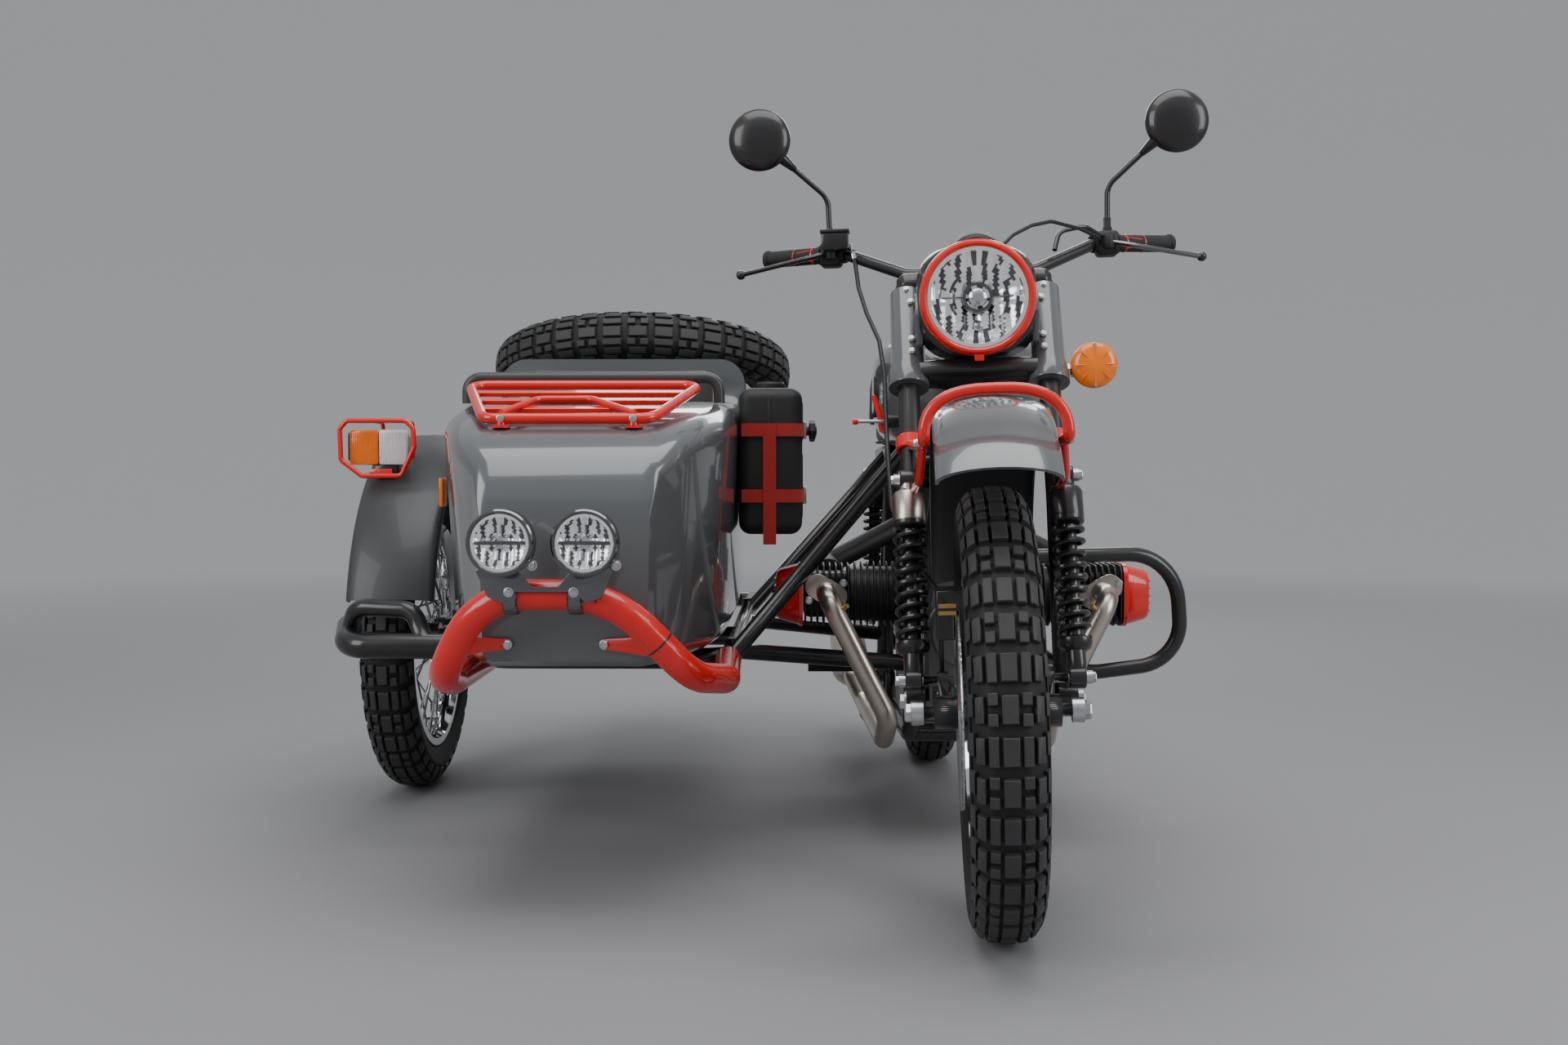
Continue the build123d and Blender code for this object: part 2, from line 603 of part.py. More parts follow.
def rocker_covers():
    base = Plane(origin=(HEAD_END_X + SEAT, CYLINDER_Y, CYLINDER_Z), x_dir=(0, 1, 0),
                 z_dir=(1, 0, 0))
    wide, tall = 2 * HEAD_HALF_DEPTH + 2, 2 * HEAD_HALF_HEIGHT + 2
    cover = loft([base * RectangleRounded(wide, tall, 30),
                  base.offset(COVER_END_X - HEAD_END_X) * RectangleRounded(wide - 30, tall - 30, 24)],
                 ruled=True)
    return loose(*mirrored_pair(cover))


def intake():
    """Throttle bodies behind the heads, the tubes to them and the air box."""
    airbox = block((-88, 88), (-524, -456), (CASE_TOP_Z - 60, 660))
    pieces = [airbox]
    for side in (-1, 1):
        x = side * 250
        pieces.append(rod((x, CYLINDER_Y + HEAD_HALF_DEPTH + SEAT, 500), (x, -640, 500), 26))
        pieces.append(bar([(x, -645, 500), (x, -590, 506), (side * 80, -490, 590)], 22, 30))
    return joined(*pieces)


def exhaust_system():
    """Two headers under the engine, a balance pipe and a muffler at each side."""
    front = CYLINDER_Y - HEAD_HALF_DEPTH - SEAT
    pieces = [bar([(-PIPE_X, BALANCE_Y, PIPE_Z), (-PIPE_X, BALANCE_Y, BALANCE_Z),
                   (PIPE_X, BALANCE_Y, BALANCE_Z), (PIPE_X, BALANCE_Y, PIPE_Z)], 12, 16)]
    for side in (-1, 1):
        pipe, muffler = side * PIPE_X, side * MUFFLER_X
        pieces.append(bar([
            (side * 257, front, 472), (side * 257, -968, 472), (side * 146, -968, 250),
            (side * 150, -900, PIPE_Z), (pipe, -430, PIPE_Z), (muffler, -350, 240),
            (muffler, -290, 244),
        ], HEADER_RADIUS, 34))
        pieces.append(rod((side * 257, front, 472), (side * 257, front - 10, 472), 33))
        pieces.append(rod((muffler, -300, 243), (muffler, 330, 300), MUFFLER_RADIUS))
    return joined(*pieces)


def crash_bar():
    """Guard loop ahead of the left cylinder only."""
    foot = RAIL_X + FRAME_TUBE_RADIUS + SEAT
    return bar([
        (foot, -985, 545), (330, -945, 548), (392, -930, 450), (330, -930, 335),
        (foot, CRADLE_FRONT_Y, 335),
    ], CRASH_RADIUS, 34)


def fuel_tank():
    side = make_face(Polyline(
        (-985, 840), (-978, 890), (-930, 940), (-800, 962), (-620, 945), (-490, 860),
        (-452, 790), (-452, 772), (-560, 735), (-900, 735), close=True))
    right = [(70, -985), (130, -940), (TANK_HALF_WIDTH, -800), (TANK_HALF_WIDTH - 5, -640),
             (100, -480), (70, -440)]
    plan = make_face(Polyline(*right, *[(-x, y) for x, y in reversed(right)], close=True))
    across = Plane(origin=(0, 0, 0), x_dir=(0, 1, 0), z_dir=(1, 0, 0))
    body = extrude(across * side, amount=200, both=True) \
        & (Pos(0, 0, 600) * extrude(plan, amount=500))
    front, rear = on_head(-20), Vector(0, *BACKBONE[-1][1:])
    slot = side_plate([(front.Y, front.Z), BACKBONE[0][1:], (rear.Y, rear.Z), (rear.Y, 600),
                       (front.Y, 600)], -TUNNEL_HALF_WIDTH, 2 * TUNNEL_HALF_WIDTH)
    return body - backbone(SEAT) - slot


def rider_saddle():
    seat_low = SUBFRAME_Z + FRAME_TUBE_RADIUS + SEAT
    return side_plate([
        (-448, seat_low + 16), (-446, 800), (-400, 816), (-200, 812), (-120, 838), (140, 846),
        (190, 830), (190, seat_low), (-300, seat_low)], -SADDLE_HALF_WIDTH, 2 * SADDLE_HALF_WIDTH)


def rear_fender():
    """Fender with its tabs on the seat rails and the bare number plate bracket."""
    body = arch(REAR_AXLE, TYRE_RADIUS + REAR_FENDER_GAP, REAR_FENDER_WIDTH, 8, 122, 30)
    inner = REAR_FENDER_WIDTH / 2 - FENDER_SHEET / 2
    z = TYRE_RADIUS + TYRE_RADIUS + REAR_FENDER_GAP - 16
    for side in (-1, 1):
        tab = rod((side * inner, 0, z), (side * SUBFRAME_X, 0, z), 6)
        rail = rod((side * SUBFRAME_X, -60, SUBFRAME_Z), (side * SUBFRAME_X, 60, SUBFRAME_Z),
                   FRAME_TUBE_RADIUS + SEAT)
        body += tab - rail
        x = side * PLATE_TAB_X
        body += block((x - 4, x + 4), (PLATE_Y - 28, PLATE_Y + 1), (PLATE_Z - 12, PLATE_Z + 20))
    plate = block((-PLATE_HALF_WIDTH, PLATE_HALF_WIDTH), (PLATE_Y, PLATE_Y + 3),
                  (PLATE_Z - PLATE_HALF_HEIGHT, PLATE_Z + PLATE_HALF_HEIGHT))
    for x in (-PLATE_HOLE_X, PLATE_HOLE_X):
        for dz in (-PLATE_HOLE_Z, PLATE_HOLE_Z):
            plate -= rod((x, PLATE_Y - 5, PLATE_Z + dz), (x, PLATE_Y + 8, PLATE_Z + dz),
                         PLATE_HOLE_RADIUS)
    return body + plate


def tail_lamp():
    angle = math.radians(24)
    radius = TYRE_RADIUS + REAR_FENDER_GAP + FENDER_SHEET + SEAT
    outward = Vector(0, math.cos(angle), math.sin(angle))
    plane = Plane(origin=REAR_AXLE + outward * radius, x_dir=(1, 0, 0), z_dir=outward)
    return extrude(plane * RectangleRounded(92, 60, 12), amount=45)


def rear_swing_arm():
    """Rear fork with the shaft tube and final drive at its right, and the rear axle."""
    pieces = [rod((-SWING_ARM_X, SWING_PIVOT_Y, SWING_PIVOT_Z),
                  (SWING_ARM_X, SWING_PIVOT_Y, SWING_PIVOT_Z), 22)]
    y, z = SHOCK_EYES["rear bottom"]
    for side in (-1, 1):
        x = side * SWING_ARM_X
        pieces.append(rod((x, SWING_PIVOT_Y, SWING_PIVOT_Z), (x, 0, TYRE_RADIUS), 16))
        pieces.append(rod((side * (HUB_HALF + SEAT), 0, TYRE_RADIUS),
                          (x + side * 16, 0, TYRE_RADIUS), 28))
        pieces.append(block((x - 10, x + 10), (y - 16, y + 16), (TYRE_RADIUS, z + 14)))
        pieces.append(shock_pin(SWING_ARM_X, side, "rear bottom"))
    pieces.append(Pos(-HUB_HALF - SEAT, 0, TYRE_RADIUS) * turned([
        (0, 0), (0, 60), (-10, 78), (-40, 78), (-60, 50), (-60, 0)]))
    hole = rod((-200, SWING_PIVOT_Y, SWING_PIVOT_Z), (200, SWING_PIVOT_Y, SWING_PIVOT_Z),
               PIVOT_PIN_RADIUS + 2 + SEAT)
    axle = rod((-HUB_HALF - 80, 0, TYRE_RADIUS), (HUB_HALF + 70, 0, TYRE_RADIUS), AXLE_RADIUS)
    return joined(*pieces) - hole + axle


def foot_controls():
    """Footrests on the lower rails, gear pedal at left and brake pedal at right."""
    pieces = []
    share = (FOOTREST_Y + 890) / (CRADLE_REAR_Y + 890)
    foot_x = RAIL_X + share * (CRADLE_REAR_X - RAIL_X)
    z = FOOTREST_Z
    for side in (-1, 1):
        foot = (side * foot_x, FOOTREST_Y, RAIL_Z + FRAME_TUBE_RADIUS + SEAT)
        rest = bar([foot, (side * foot_x, FOOTREST_Y, z), (side * 194, FOOTREST_Y, z)], 10, 24)
        pad = rod((side * 186, FOOTREST_Y, z), (side * 290, FOOTREST_Y, z), 17)
        pedal = bar([(side * 200, FOOTREST_Y, z), (side * 200, FOOTREST_Y - 60, z + 30),
                     (side * 215, FOOTREST_Y - 200, z + 24)], 8, 20)
        pieces.append(joined(rest, pad, pedal))
    return loose(*pieces)


def upright_front(z):
    """How far back a flat piece may reach at height z, against the frame's rear upright."""
    lean = 12 * (z - RAIL_Z) / (SUBFRAME_Z - RAIL_Z)
    return CRADLE_REAR_Y + lean - FRAME_TUBE_RADIUS - SEAT


def side_covers():
    """Panels ahead of the rear uprights, below the seat."""
    panel = side_plate([(-448, 470), (upright_front(450), 450), (upright_front(690), 690),
                        (-448, 690)], 96, 30)
    return loose(*mirrored_pair(panel))


# Sidecar

def sidecar_frame():
    """Tubular chassis, its four arms to the motorcycle and the tower of the wheel's shock."""
    inner, outer = CHASSIS_INNER_X, CHASSIS_OUTER_X
    pieces = [bar([(inner, CHASSIS_REAR_Y, CHASSIS_Z), (inner, CHASSIS_FRONT_Y, CHASSIS_Z),
                   (outer, CHASSIS_FRONT_Y, CHASSIS_Z), (outer, CHASSIS_REAR_Y, CHASSIS_Z)],
                  CHASSIS_RADIUS, 60)]
    for y in (CHASSIS_REAR_Y, SUSPENSION_Y):
        pieces.append(rod((outer, y, CHASSIS_Z), (inner, y, CHASSIS_Z), CHASSIS_RADIUS))
    for start, end in CHASSIS_ARMS:
        pieces.append(rod(start, end, ARM_RADIUS))
    for x in (inner, outer):
        for y in (-920, -60):
            pieces.append(rod((x, y, CHASSIS_Z), (x, y, TUB_FLOOR_Z - SEAT), 16))
    pieces.append(bar([(outer, TOWER_Y, CHASSIS_Z), (TOWER_X, TOWER_Y, CHASSIS_Z),
                       (TOWER_X, TOWER_Y, 706)], 15, 34))
    y, z = SHOCK_EYES["sidecar top"]
    pieces.append(rod((TOWER_X, y, z), (SHOCK_X["sidecar top"] - 22, y, z), SHOCK_PIN_RADIUS))
    pieces.append(rod((outer, SUSPENSION_Y, CHASSIS_Z), (SIDECAR_ARM_X - 24, SUSPENSION_Y, CHASSIS_Z),
                      14))
    return joined(*pieces) - cradle_side(-1, SEAT)


def sidecar_swing_arm():
    """Trailing arm with the sidecar's axle."""
    x, (axle_y, axle_z) = SIDECAR_ARM_X, (-SIDECAR_LEAD, TYRE_RADIUS)
    y, z = SHOCK_EYES["sidecar bottom"]
    hub_inner = -TRACK + HUB_HALF + SEAT
    arm = joined(
        rod((x - 20, SUSPENSION_Y, CHASSIS_Z), (x + 20, SUSPENSION_Y, CHASSIS_Z), 26),
        rod((x, SUSPENSION_Y, CHASSIS_Z), (x, axle_y, axle_z), 17),
        rod((hub_inner, axle_y, axle_z), (x + 18, axle_y, axle_z), 27),
        rod((x, y, axle_z), (x, y, z), 12),
        rod((x, y, z), (SHOCK_X["sidecar bottom"] + SHOCK_EYE_HALF + 8, y, z), SHOCK_PIN_RADIUS),
    ) - rod((x - 60, SUSPENSION_Y, CHASSIS_Z), (x + 60, SUSPENSION_Y, CHASSIS_Z), 14 + SEAT)
    axle = rod((x, axle_y, axle_z), (-TRACK - HUB_HALF - 14, axle_y, axle_z), AXLE_RADIUS)
    return arm + axle


def trunk_top(y):
    """Height of the trunk's sloping top."""
    return TRUNK_TOP_Z - (y - COWL_REAR_Y) * math.tan(math.radians(LID_SLOPE))


# Sections of the sidecar's body: y, bottom z, top z, half width low, half width high, corner
TUB_SECTIONS = [
    (-1388, 404, 640, 128, 134, 18),
    (-1360, 393, 716, 140, 148, 26),
    (-1290, 391, 762, 172, 196, 34),
    (-1150, 391, 798, 216, 240, 40),
    (-1000, 391, 822, 236, 253, 44),
    (-560, 391, 838, 238, 253, 46),
    (COWL_REAR_Y, 391, TRUNK_TOP_Z, 236, 250, 46),
    (100, 391, trunk_top(100), 222, 240, 46),
    (330, 420, trunk_top(330), 196, 222, 46),
    (412, 500, trunk_top(412), 160, 190, 40),
]


def tub_loft(rows, inset):
    """Closed body through the section rows, drawn in by the inset."""
    faces = []
    for y, low, high, half_low, half_high, corner in rows:
        plane = Plane(origin=(TUB_X, y, 0), x_dir=(1, 0, 0), z_dir=(0, -1, 0))
        half_low, half_high = half_low - inset, half_high - inset
        outline = make_face(Polyline(
            (-half_low, low + inset), (half_low, low + inset), (half_high, high - inset),
            (-half_high, high - inset), close=True))
        faces.append(plane * fillet(outline.vertices(), corner - inset / 2))
    return loft(faces, ruled=True)


def section_at(y):
    """Section row at y, between the two rows of the table beside it."""
    for near, far in zip(TUB_SECTIONS, TUB_SECTIONS[1:]):
        if near[0] <= y <= far[0]:
            share = (y - near[0]) / (far[0] - near[0])
            return tuple(a + (b - a) * share for a, b in zip(near, far))


def flank(y, z):
    """Half width of the body's flat flank at y and height z."""
    _, low, high, half_low, half_high, _ = section_at(y)
    return half_low + (half_high - half_low) * (z - low) / (high - low)


def flank_top(y):
    """Half width where the flank meets its rounded upper corner."""
    _, _, high, _, _, corner = section_at(y)
    return flank(y, high - corner)


def tub_hollow(front, rear):
    rows = [row for row in TUB_SECTIONS if front < row[0] < rear]
    return tub_loft([section_at(front)] + rows + [section_at(rear)], TUB_WALL)


def tub_plane(y):
    return Plane(origin=(TUB_X, y, 0), x_dir=(1, 0, 0), z_dir=(0, -1, 0))


def sidecar_tub():
    """Hollow body with an open cockpit, a raised cowl behind the seat and a trunk hatch."""
    half = TUB_HALF_WIDTH - 2
    cowl_face = make_face(Polyline((-half, 760), (half, 760), (half, COWL_TOP_Z),
                                   (-half, COWL_TOP_Z), close=True))
    cowl_face = fillet(cowl_face.vertices().sort_by(Axis.Y)[-2:], COWL_CORNER)
    cowl = extrude(tub_plane(COWL_REAR_Y) * cowl_face, amount=COWL_REAR_Y - COWL_FRONT_Y)
    body = tub_loft(TUB_SECTIONS, 0) + cowl
    cockpit = block((TUB_X - TUB_HALF_WIDTH + COAMING, TUB_X + TUB_HALF_WIDTH - COAMING),
                    (COCKPIT_FRONT_Y, COWL_FRONT_Y - TUB_WALL), (600, 1000))
    cockpit = fillet(cockpit.edges().filter_by(Axis.Z).sort_by(Axis.Y)[:2], 70)
    hatch = block((TUB_X - LID_HALF_WIDTH + 24, TUB_X + LID_HALF_WIDTH - 24),
                  (LID_HINGE_Y + 34, LID_HINGE_Y + LID_LENGTH - 40), (600, 1000))
    cabin = tub_hollow(TUB_SECTIONS[0][0] + TUB_WALL, COWL_FRONT_Y - TUB_WALL)
    trunk = tub_hollow(COWL_REAR_Y + 2 * TUB_WALL, TUB_SECTIONS[-1][0] - TUB_WALL)
    body = body - cabin - trunk - cockpit - hatch
    return joined(body, *[lid_plane() * lug for lug in hinge_lugs()])


def hinge_lugs():
    """Lugs and pins of the lid's two hinges, in the lid's plane."""
    pieces = []
    for x in (-HINGE_X, HINGE_X):
        for side in (-1, 1):
            low = x + side * (HINGE_LENGTH / 2 + SEAT + 3) - 3
            pieces.append(block((low, low + 6), (HINGE_Y - 7, HINGE_Y + 7), (-3, HINGE_Z + 7)))
        pieces.append(rod((x - HINGE_LENGTH / 2 - 6, HINGE_Y, HINGE_Z),
                          (x + HINGE_LENGTH / 2 + 6, HINGE_Y, HINGE_Z), HINGE_PIN_RADIUS))
    return pieces


def sidecar_seat():
    """Cushion and backrest of the passenger's seat."""
    half = 186
    cushion = block((TUB_X - half, TUB_X + half), (-960, BACKREST_FRONT_Y - 1),
                    (TUB_FLOOR_Z + TUB_WALL + SEAT, 560))
    rear = COWL_FRONT_Y - TUB_WALL - SEAT
    low = block((TUB_X - half - 16, TUB_X + half + 16), (BACKREST_FRONT_Y, rear), (460, 850))
    deck = section_at(COWL_FRONT_Y - 2)[2] + SEAT
    top_half = TUB_HALF_WIDTH - COWL_RIM
    top = block((TUB_X - top_half, TUB_X + top_half), (BACKREST_FRONT_Y, COWL_FRONT_Y - SEAT),
                (deck + 2, BACKREST_TOP_Z))
    top = fillet(top.edges().filter_by(Axis.Y).group_by(Axis.Z)[-1], COWL_CORNER - COWL_RIM)
    return loose(cushion, low + top)


def deck_plane(y):
    """Plane of the nose deck at y, with its z square to the deck."""
    (front, _, low), (rear, _, high) = [
        row[:3] for row in TUB_SECTIONS if row[0] in (-1290, -1150)]
    along = Vector(0, rear - front, high - low).normalized()
    return Plane(origin=(NOSE_X, y, section_at(y)[2]), x_dir=(1, 0, 0), z_dir=Vector(1, 0, 0).cross(along))


def loft_foot(height):
    """Round foot from the deck up into the rack's front rail."""
    return Pos(0, 0, SEAT + 2) * Cylinder(15, 4) + Pos(0, 0, SEAT + height / 2) * Cylinder(7, height)


def nose_rack():
    """Rail frame with slats above the sloping nose deck, on two feet."""
    near, far = Vector(NOSE_X, -1262, 786), Vector(NOSE_X, -1040, 850)
    low_half, high_half = 138, 204
    loop = hoop([
        near - Vector(low_half, 0, 0), near + Vector(low_half, 0, 0),
        far + Vector(high_half, 0, 0), far - Vector(high_half, 0, 0),
    ], RACK_RADIUS, 26)
    pieces = [loop]
    deck = deck_plane(near.Y)
    for dx in (-RACK_FOOT_X, RACK_FOOT_X):
        pieces.append(deck * Pos(dx, 0, 0) * loft_foot(near.Z - deck.origin.Z))
    for share in (-0.6, -0.2, 0.2, 0.6):
        pieces.append(rod(near + Vector(low_half * share, 0, 0),
                          far + Vector(high_half * share, 0, 0), RACK_RADIUS * 0.8))
    return joined(*pieces)


def grab_rail():
    """Passenger's rail across the deck ahead of the cockpit."""
    y, half = -1024, TUB_HALF_WIDTH + 4
    deck = section_at(y)[2]
    return bar([
        (TUB_X - half + 34, y, deck + 0.6), (TUB_X - half + 34, y, 864),
        (TUB_X + half - 34, y, 864), (TUB_X + half - 34, y, deck + 0.6)], 10, 24)


def nose_bumper():
    """Bent tube ahead of the nose, run back to the chassis, with two bracket plates."""
    rear_y = CHASSIS_FRONT_Y - CHASSIS_RADIUS - SEAT
    tube = bar([
        (-434, rear_y, CHASSIS_Z), (-436, -1300, 363), (-440, -1420, 384),
        (-596, BUMPER_Y, BUMPER_TOP_Z), (-784, BUMPER_Y, BUMPER_TOP_Z), (-860, -1420, 384),
        (-866, -1300, 363), (-868, rear_y, CHASSIS_Z),
    ], BUMPER_RADIUS, 40)
    nose_y = TUB_SECTIONS[0][0] - SEAT
    plates = [block((NOSE_X + dx - 4, NOSE_X + dx + 4), (BUMPER_Y, nose_y),
                    (BUMPER_TOP_Z - 20, BUMPER_TOP_Z + 14)) for dx in (-78, 78)]
    return joined(tube, *plates)


def fog_lamps():
    """Two round lamps on posts from the bumper."""
    lamps = []
    for x in FOG_LAMP_X:
        low = BUMPER_TOP_Z + BUMPER_RADIUS + SEAT
        shell = Pos(x, FOG_LAMP_Y, FOG_LAMP_Z) * Rot(90, 0, 0) * Cylinder(FOG_LAMP_RADIUS, 56)
        post = rod((x, BUMPER_Y, low), (x, BUMPER_Y, FOG_LAMP_Z), 11)
        lamps.append(shell + post)
    return loose(*lamps)


def sidecar_fender():
    centre = SIDECAR_AXLE + Vector(SIDECAR_FENDER_INSET, 0, 0)
    sheet = arch(centre, TYRE_RADIUS + SIDECAR_FENDER_GAP, SIDECAR_FENDER_WIDTH, 4, 166, 34)
    inner = centre.X + SIDECAR_FENDER_WIDTH / 2
    stays = []
    for y, z in ((-560, 640), (-80, 640)):
        seat = TUB_X - flank(y, z + STAY_RADIUS) - SEAT
        stays.append(rod((inner - 2, y, z), (seat, y, z), STAY_RADIUS))
    return joined(sheet, *stays)


def fender_lamp():
    """Marker lamp on a pedestal of the sidecar's fender."""
    lamp = block((-1232, -1111), (FENDER_LAMP_Y - 22, FENDER_LAMP_Y + 16), (707, 776))
    pedestal = block((-1176, -1130), (FENDER_LAMP_Y - 16, FENDER_LAMP_Y + 10), (680, 708))
    return lamp + (pedestal - sidecar_fender_drum())


def sidecar_fender_drum():
    """Cylinder just over the sidecar fender's outside, to cut what sits on it."""
    radius = TYRE_RADIUS + SIDECAR_FENDER_GAP + FENDER_SHEET + SEAT
    reach = Vector(SIDECAR_FENDER_WIDTH, 0, 0)
    centre = SIDECAR_AXLE + Vector(SIDECAR_FENDER_INSET, 0, 0)
    return rod(centre - reach, centre + reach, radius)


def fender_lamp_guard():
    """Cage of round bar about the marker lamp."""
    y = FENDER_LAMP_Y - 40
    low, high = 690, 797
    pieces = [hoop([(-1244, y, low), (-1244, y, high), (-1092, y, high), (-1092, y, low)],
                   CAGE_RADIUS, 16)]
    for x in (-1176, -1114):
        leg = bar([(x, y, high), (x, y + 96, high), (x, y + 96, 690)], CAGE_RADIUS - 1, 16)
        pieces.append(leg - sidecar_fender_drum())
    return joined(*pieces)


def step_guard():
    """Two bent tubes ahead of the sidecar wheel, from the chassis' outer rail."""
    outer = CHASSIS_OUTER_X - CHASSIS_RADIUS - SEAT
    low = bar([(outer, STEP_Y, STEP_Z), (-1150, STEP_Y, STEP_Z), (-1176, STEP_Y + 110, 396)],
              STEP_RADIUS, 50)
    high = bar([(-1000, STEP_Y, STEP_Z), (-1030, STEP_Y + 14, 438), (-1140, STEP_Y + 30, 442),
                (-1166, STEP_Y + 70, 392)], STEP_RADIUS * 0.7, 36)
    return joined(low, high)


def jerry_seat():
    """Where the can's flat back stands, against the body's left flank."""
    return TUB_X + max(flank_top(JERRY_FRONT_Y), flank_top(JERRY_REAR_Y)) + SEAT


def jerry_can():
    x = jerry_seat()
    can = block((x, x + JERRY_DEPTH), (JERRY_FRONT_Y, JERRY_REAR_Y), (JERRY_LOW_Z, JERRY_TOP_Z))
    return fillet(can.edges(), 22)


def jerry_can_straps():
    x = jerry_seat() + JERRY_DEPTH + SEAT
    return block((x, x + 4), (JERRY_FRONT_Y + 20, JERRY_REAR_Y - 20),
                 ((JERRY_LOW_Z + JERRY_TOP_Z) / 2 - 16, (JERRY_LOW_Z + JERRY_TOP_Z) / 2 + 16))


# Trunk lid and spare wheel

def lid_plane():
    """Plane of the trunk's sloping top, origin ahead of the lid, y down the slope."""
    slope = math.radians(LID_SLOPE)
    return Plane(origin=(TUB_X, LID_HINGE_Y, trunk_top(LID_HINGE_Y)), x_dir=(1, 0, 0),
                 z_dir=(0, math.sin(slope), math.cos(slope)))


def spare_plane():
    """Middle of the spare wheel, x along its own axle."""
    slope = math.radians(LID_SLOPE)
    return Plane(origin=(TUB_X, SPARE_Y, SPARE_Z), x_dir=(0, math.sin(slope), math.cos(slope)),
                 z_dir=(1, 0, 0))


def trunk_lid():
    """Lid panel with the barrels of its two hinges, in front."""
    top = SEAT + LID_THICKNESS
    lid = block((-LID_HALF_WIDTH, LID_HALF_WIDTH), (8, 8 + LID_LENGTH), (SEAT, top))
    for x in (-HINGE_X, HINGE_X):
        lid += block((x - HINGE_LENGTH / 2, x + HINGE_LENGTH / 2), (HINGE_Y, 12), (top - 4, top))
        lid += rod((x - HINGE_LENGTH / 2, HINGE_Y, HINGE_Z), (x + HINGE_LENGTH / 2, HINGE_Y, HINGE_Z),
                   HINGE_RADIUS)
        lid -= rod((x - HINGE_LENGTH, HINGE_Y, HINGE_Z), (x + HINGE_LENGTH, HINGE_Y, HINGE_Z),
                   HINGE_PIN_RADIUS + RUNNING)
    return lid_plane() * lid


def spare_carrier():
    """Post and foot on the lid, with the stud and nut that clamp the spare wheel."""
    local = lid_plane().to_local_coords(Vector(TUB_X, SPARE_Y, SPARE_Z))
    foot_z = 2 * SEAT + LID_THICKNESS
    top_z = local.Z - HUB_HALF - SEAT
    end_z = local.Z + HUB_HALF + SEAT
    foot = block((-90, 90), (local.Y - 90, local.Y + 90), (foot_z, foot_z + 8))
    post = rod((0, local.Y, foot_z), (0, local.Y, top_z), 34)
    stud = rod((0, local.Y, top_z), (0, local.Y, end_z + 20), AXLE_RADIUS - SEAT)
    nut = rod((0, local.Y, end_z), (0, local.Y, end_z + 12), 22)
    return lid_plane() * joined(foot, post, stud, nut)


FENDER_SHEET = 4.0
FRONT_FENDER_Y = -1440.0
FRONT_FENDER_Z = 400.0
FRONT_FENDER_RADIUS = 413.0
FRONT_FENDER_WIDTH = 176.0
GUARD_RADIUS = 8.5
GUARD_LEG_Z = 748.0
FENDER_TAB_Z = 722.0
GUARD_HOOP_Y = -1640.0
HEADLAMP_RADIUS = 97.5
BUCKET_RADIUS = HEADLAMP_RADIUS - 6
HEADLAMP_RIM_DEPTH = 25.0
HEADLAMP_Y = -1200.0
HEADLAMP_Z = 989.0
BAR_RADIUS = 11.0
GRIP_RADIUS = 16.0
MIRROR_RADIUS = 57.0
SIGNAL_RADIUS = 39.0
SIGNAL_AT = (194.0, -1140.0, 872.0)
SHOCK_RADIUS = 27.0
SHOCK_EYE_RADIUS = 17.0
SHOCK_EYE_HALF = 13.0
SHOCK_PIN_RADIUS = 7.0
SWING_ARM_X = 81.0
SWING_PLATE_X = 112.0
SIDECAR_ARM_X = -1058.0
SUSPENSION_Y = -620.0
TOWER_Y = -400.0
TOWER_X = -946.0
SHOCK_X = {"front bottom": 124.0, "front top": 124.0, "rear bottom": 134.0, "rear top": 134.0,
           "sidecar bottom": -994.0, "sidecar top": -994.0}
SHOCK_EYES = {"front bottom": (-1435.0, 384.0), "front top": (-1310.0, 690.0),
              "rear bottom": (-60.0, 384.0), "rear top": (-110.0, 690.0),
              "sidecar bottom": (-360.0, 390.0), "sidecar top": (-400.0, 690.0)}
BARREL_RADIUS = 52.0
FIN_RADIUS = 62.0
FIN_PITCH = 13.0
HEAD_HALF_DEPTH = 62.0
HEAD_HALF_HEIGHT = 58.0
PIPE_X = 170.0
PIPE_Z = 200.0
MUFFLER_X = 192.0
MUFFLER_RADIUS = 42.0
HEADER_RADIUS = 19.0
CRASH_RADIUS = 13.5
TANK_HALF_WIDTH = 165.0
SADDLE_HALF_WIDTH = 130.0
REAR_FENDER_GAP = 55.0
REAR_FENDER_WIDTH = 160.0
PLATE_Y = 408.0
PLATE_Z = 416.0
PLATE_HALF_WIDTH = 92.0
PLATE_HALF_HEIGHT = 46.0
PLATE_TAB_X = 52.0
PLATE_HOLE_X = 73.0
PLATE_HOLE_Z = 35.0
PLATE_HOLE_RADIUS = 3.3
FOOTREST_Y = -510.0
FOOTREST_Z = 292.0
ARM_RADIUS = 15.0
CHASSIS_ARMS = [
    ((CHASSIS_INNER_X, -880, CHASSIS_Z), (-99, -931, 345)),
    ((CHASSIS_INNER_X, -300, CHASSIS_Z), (-121, -327, 335)),
    ((CHASSIS_INNER_X, -960, CHASSIS_Z), (-36, -1044, 836)),
    ((CHASSIS_INNER_X, -60, CHASSIS_Z), (-105, -200, 735)),
]
BACKBONE = [(0, -900, 842), (0, -430, 735)]
TUNNEL_HALF_WIDTH = FRAME_TUBE_RADIUS + 3 + SEAT
BALANCE_Y = -480.0
BALANCE_Z = 173.0
HINGE_X = 150.0
HINGE_Y = -9.0
HINGE_Z = 10.0
HINGE_LENGTH = 44.0
HINGE_RADIUS = 7.0
HINGE_PIN_RADIUS = 4.0
BACKREST_FRONT_Y = -612.0
COWL_RIM = 12.0
STEP_Y = -900.0
STEP_Z = 372.0
STEP_RADIUS = 24.0
COWL_CORNER = 52.0
COAMING = 34.0
COCKPIT_FRONT_Y = -985.0
BACKREST_TOP_Z = 914.0
NOSE_X = -684.0
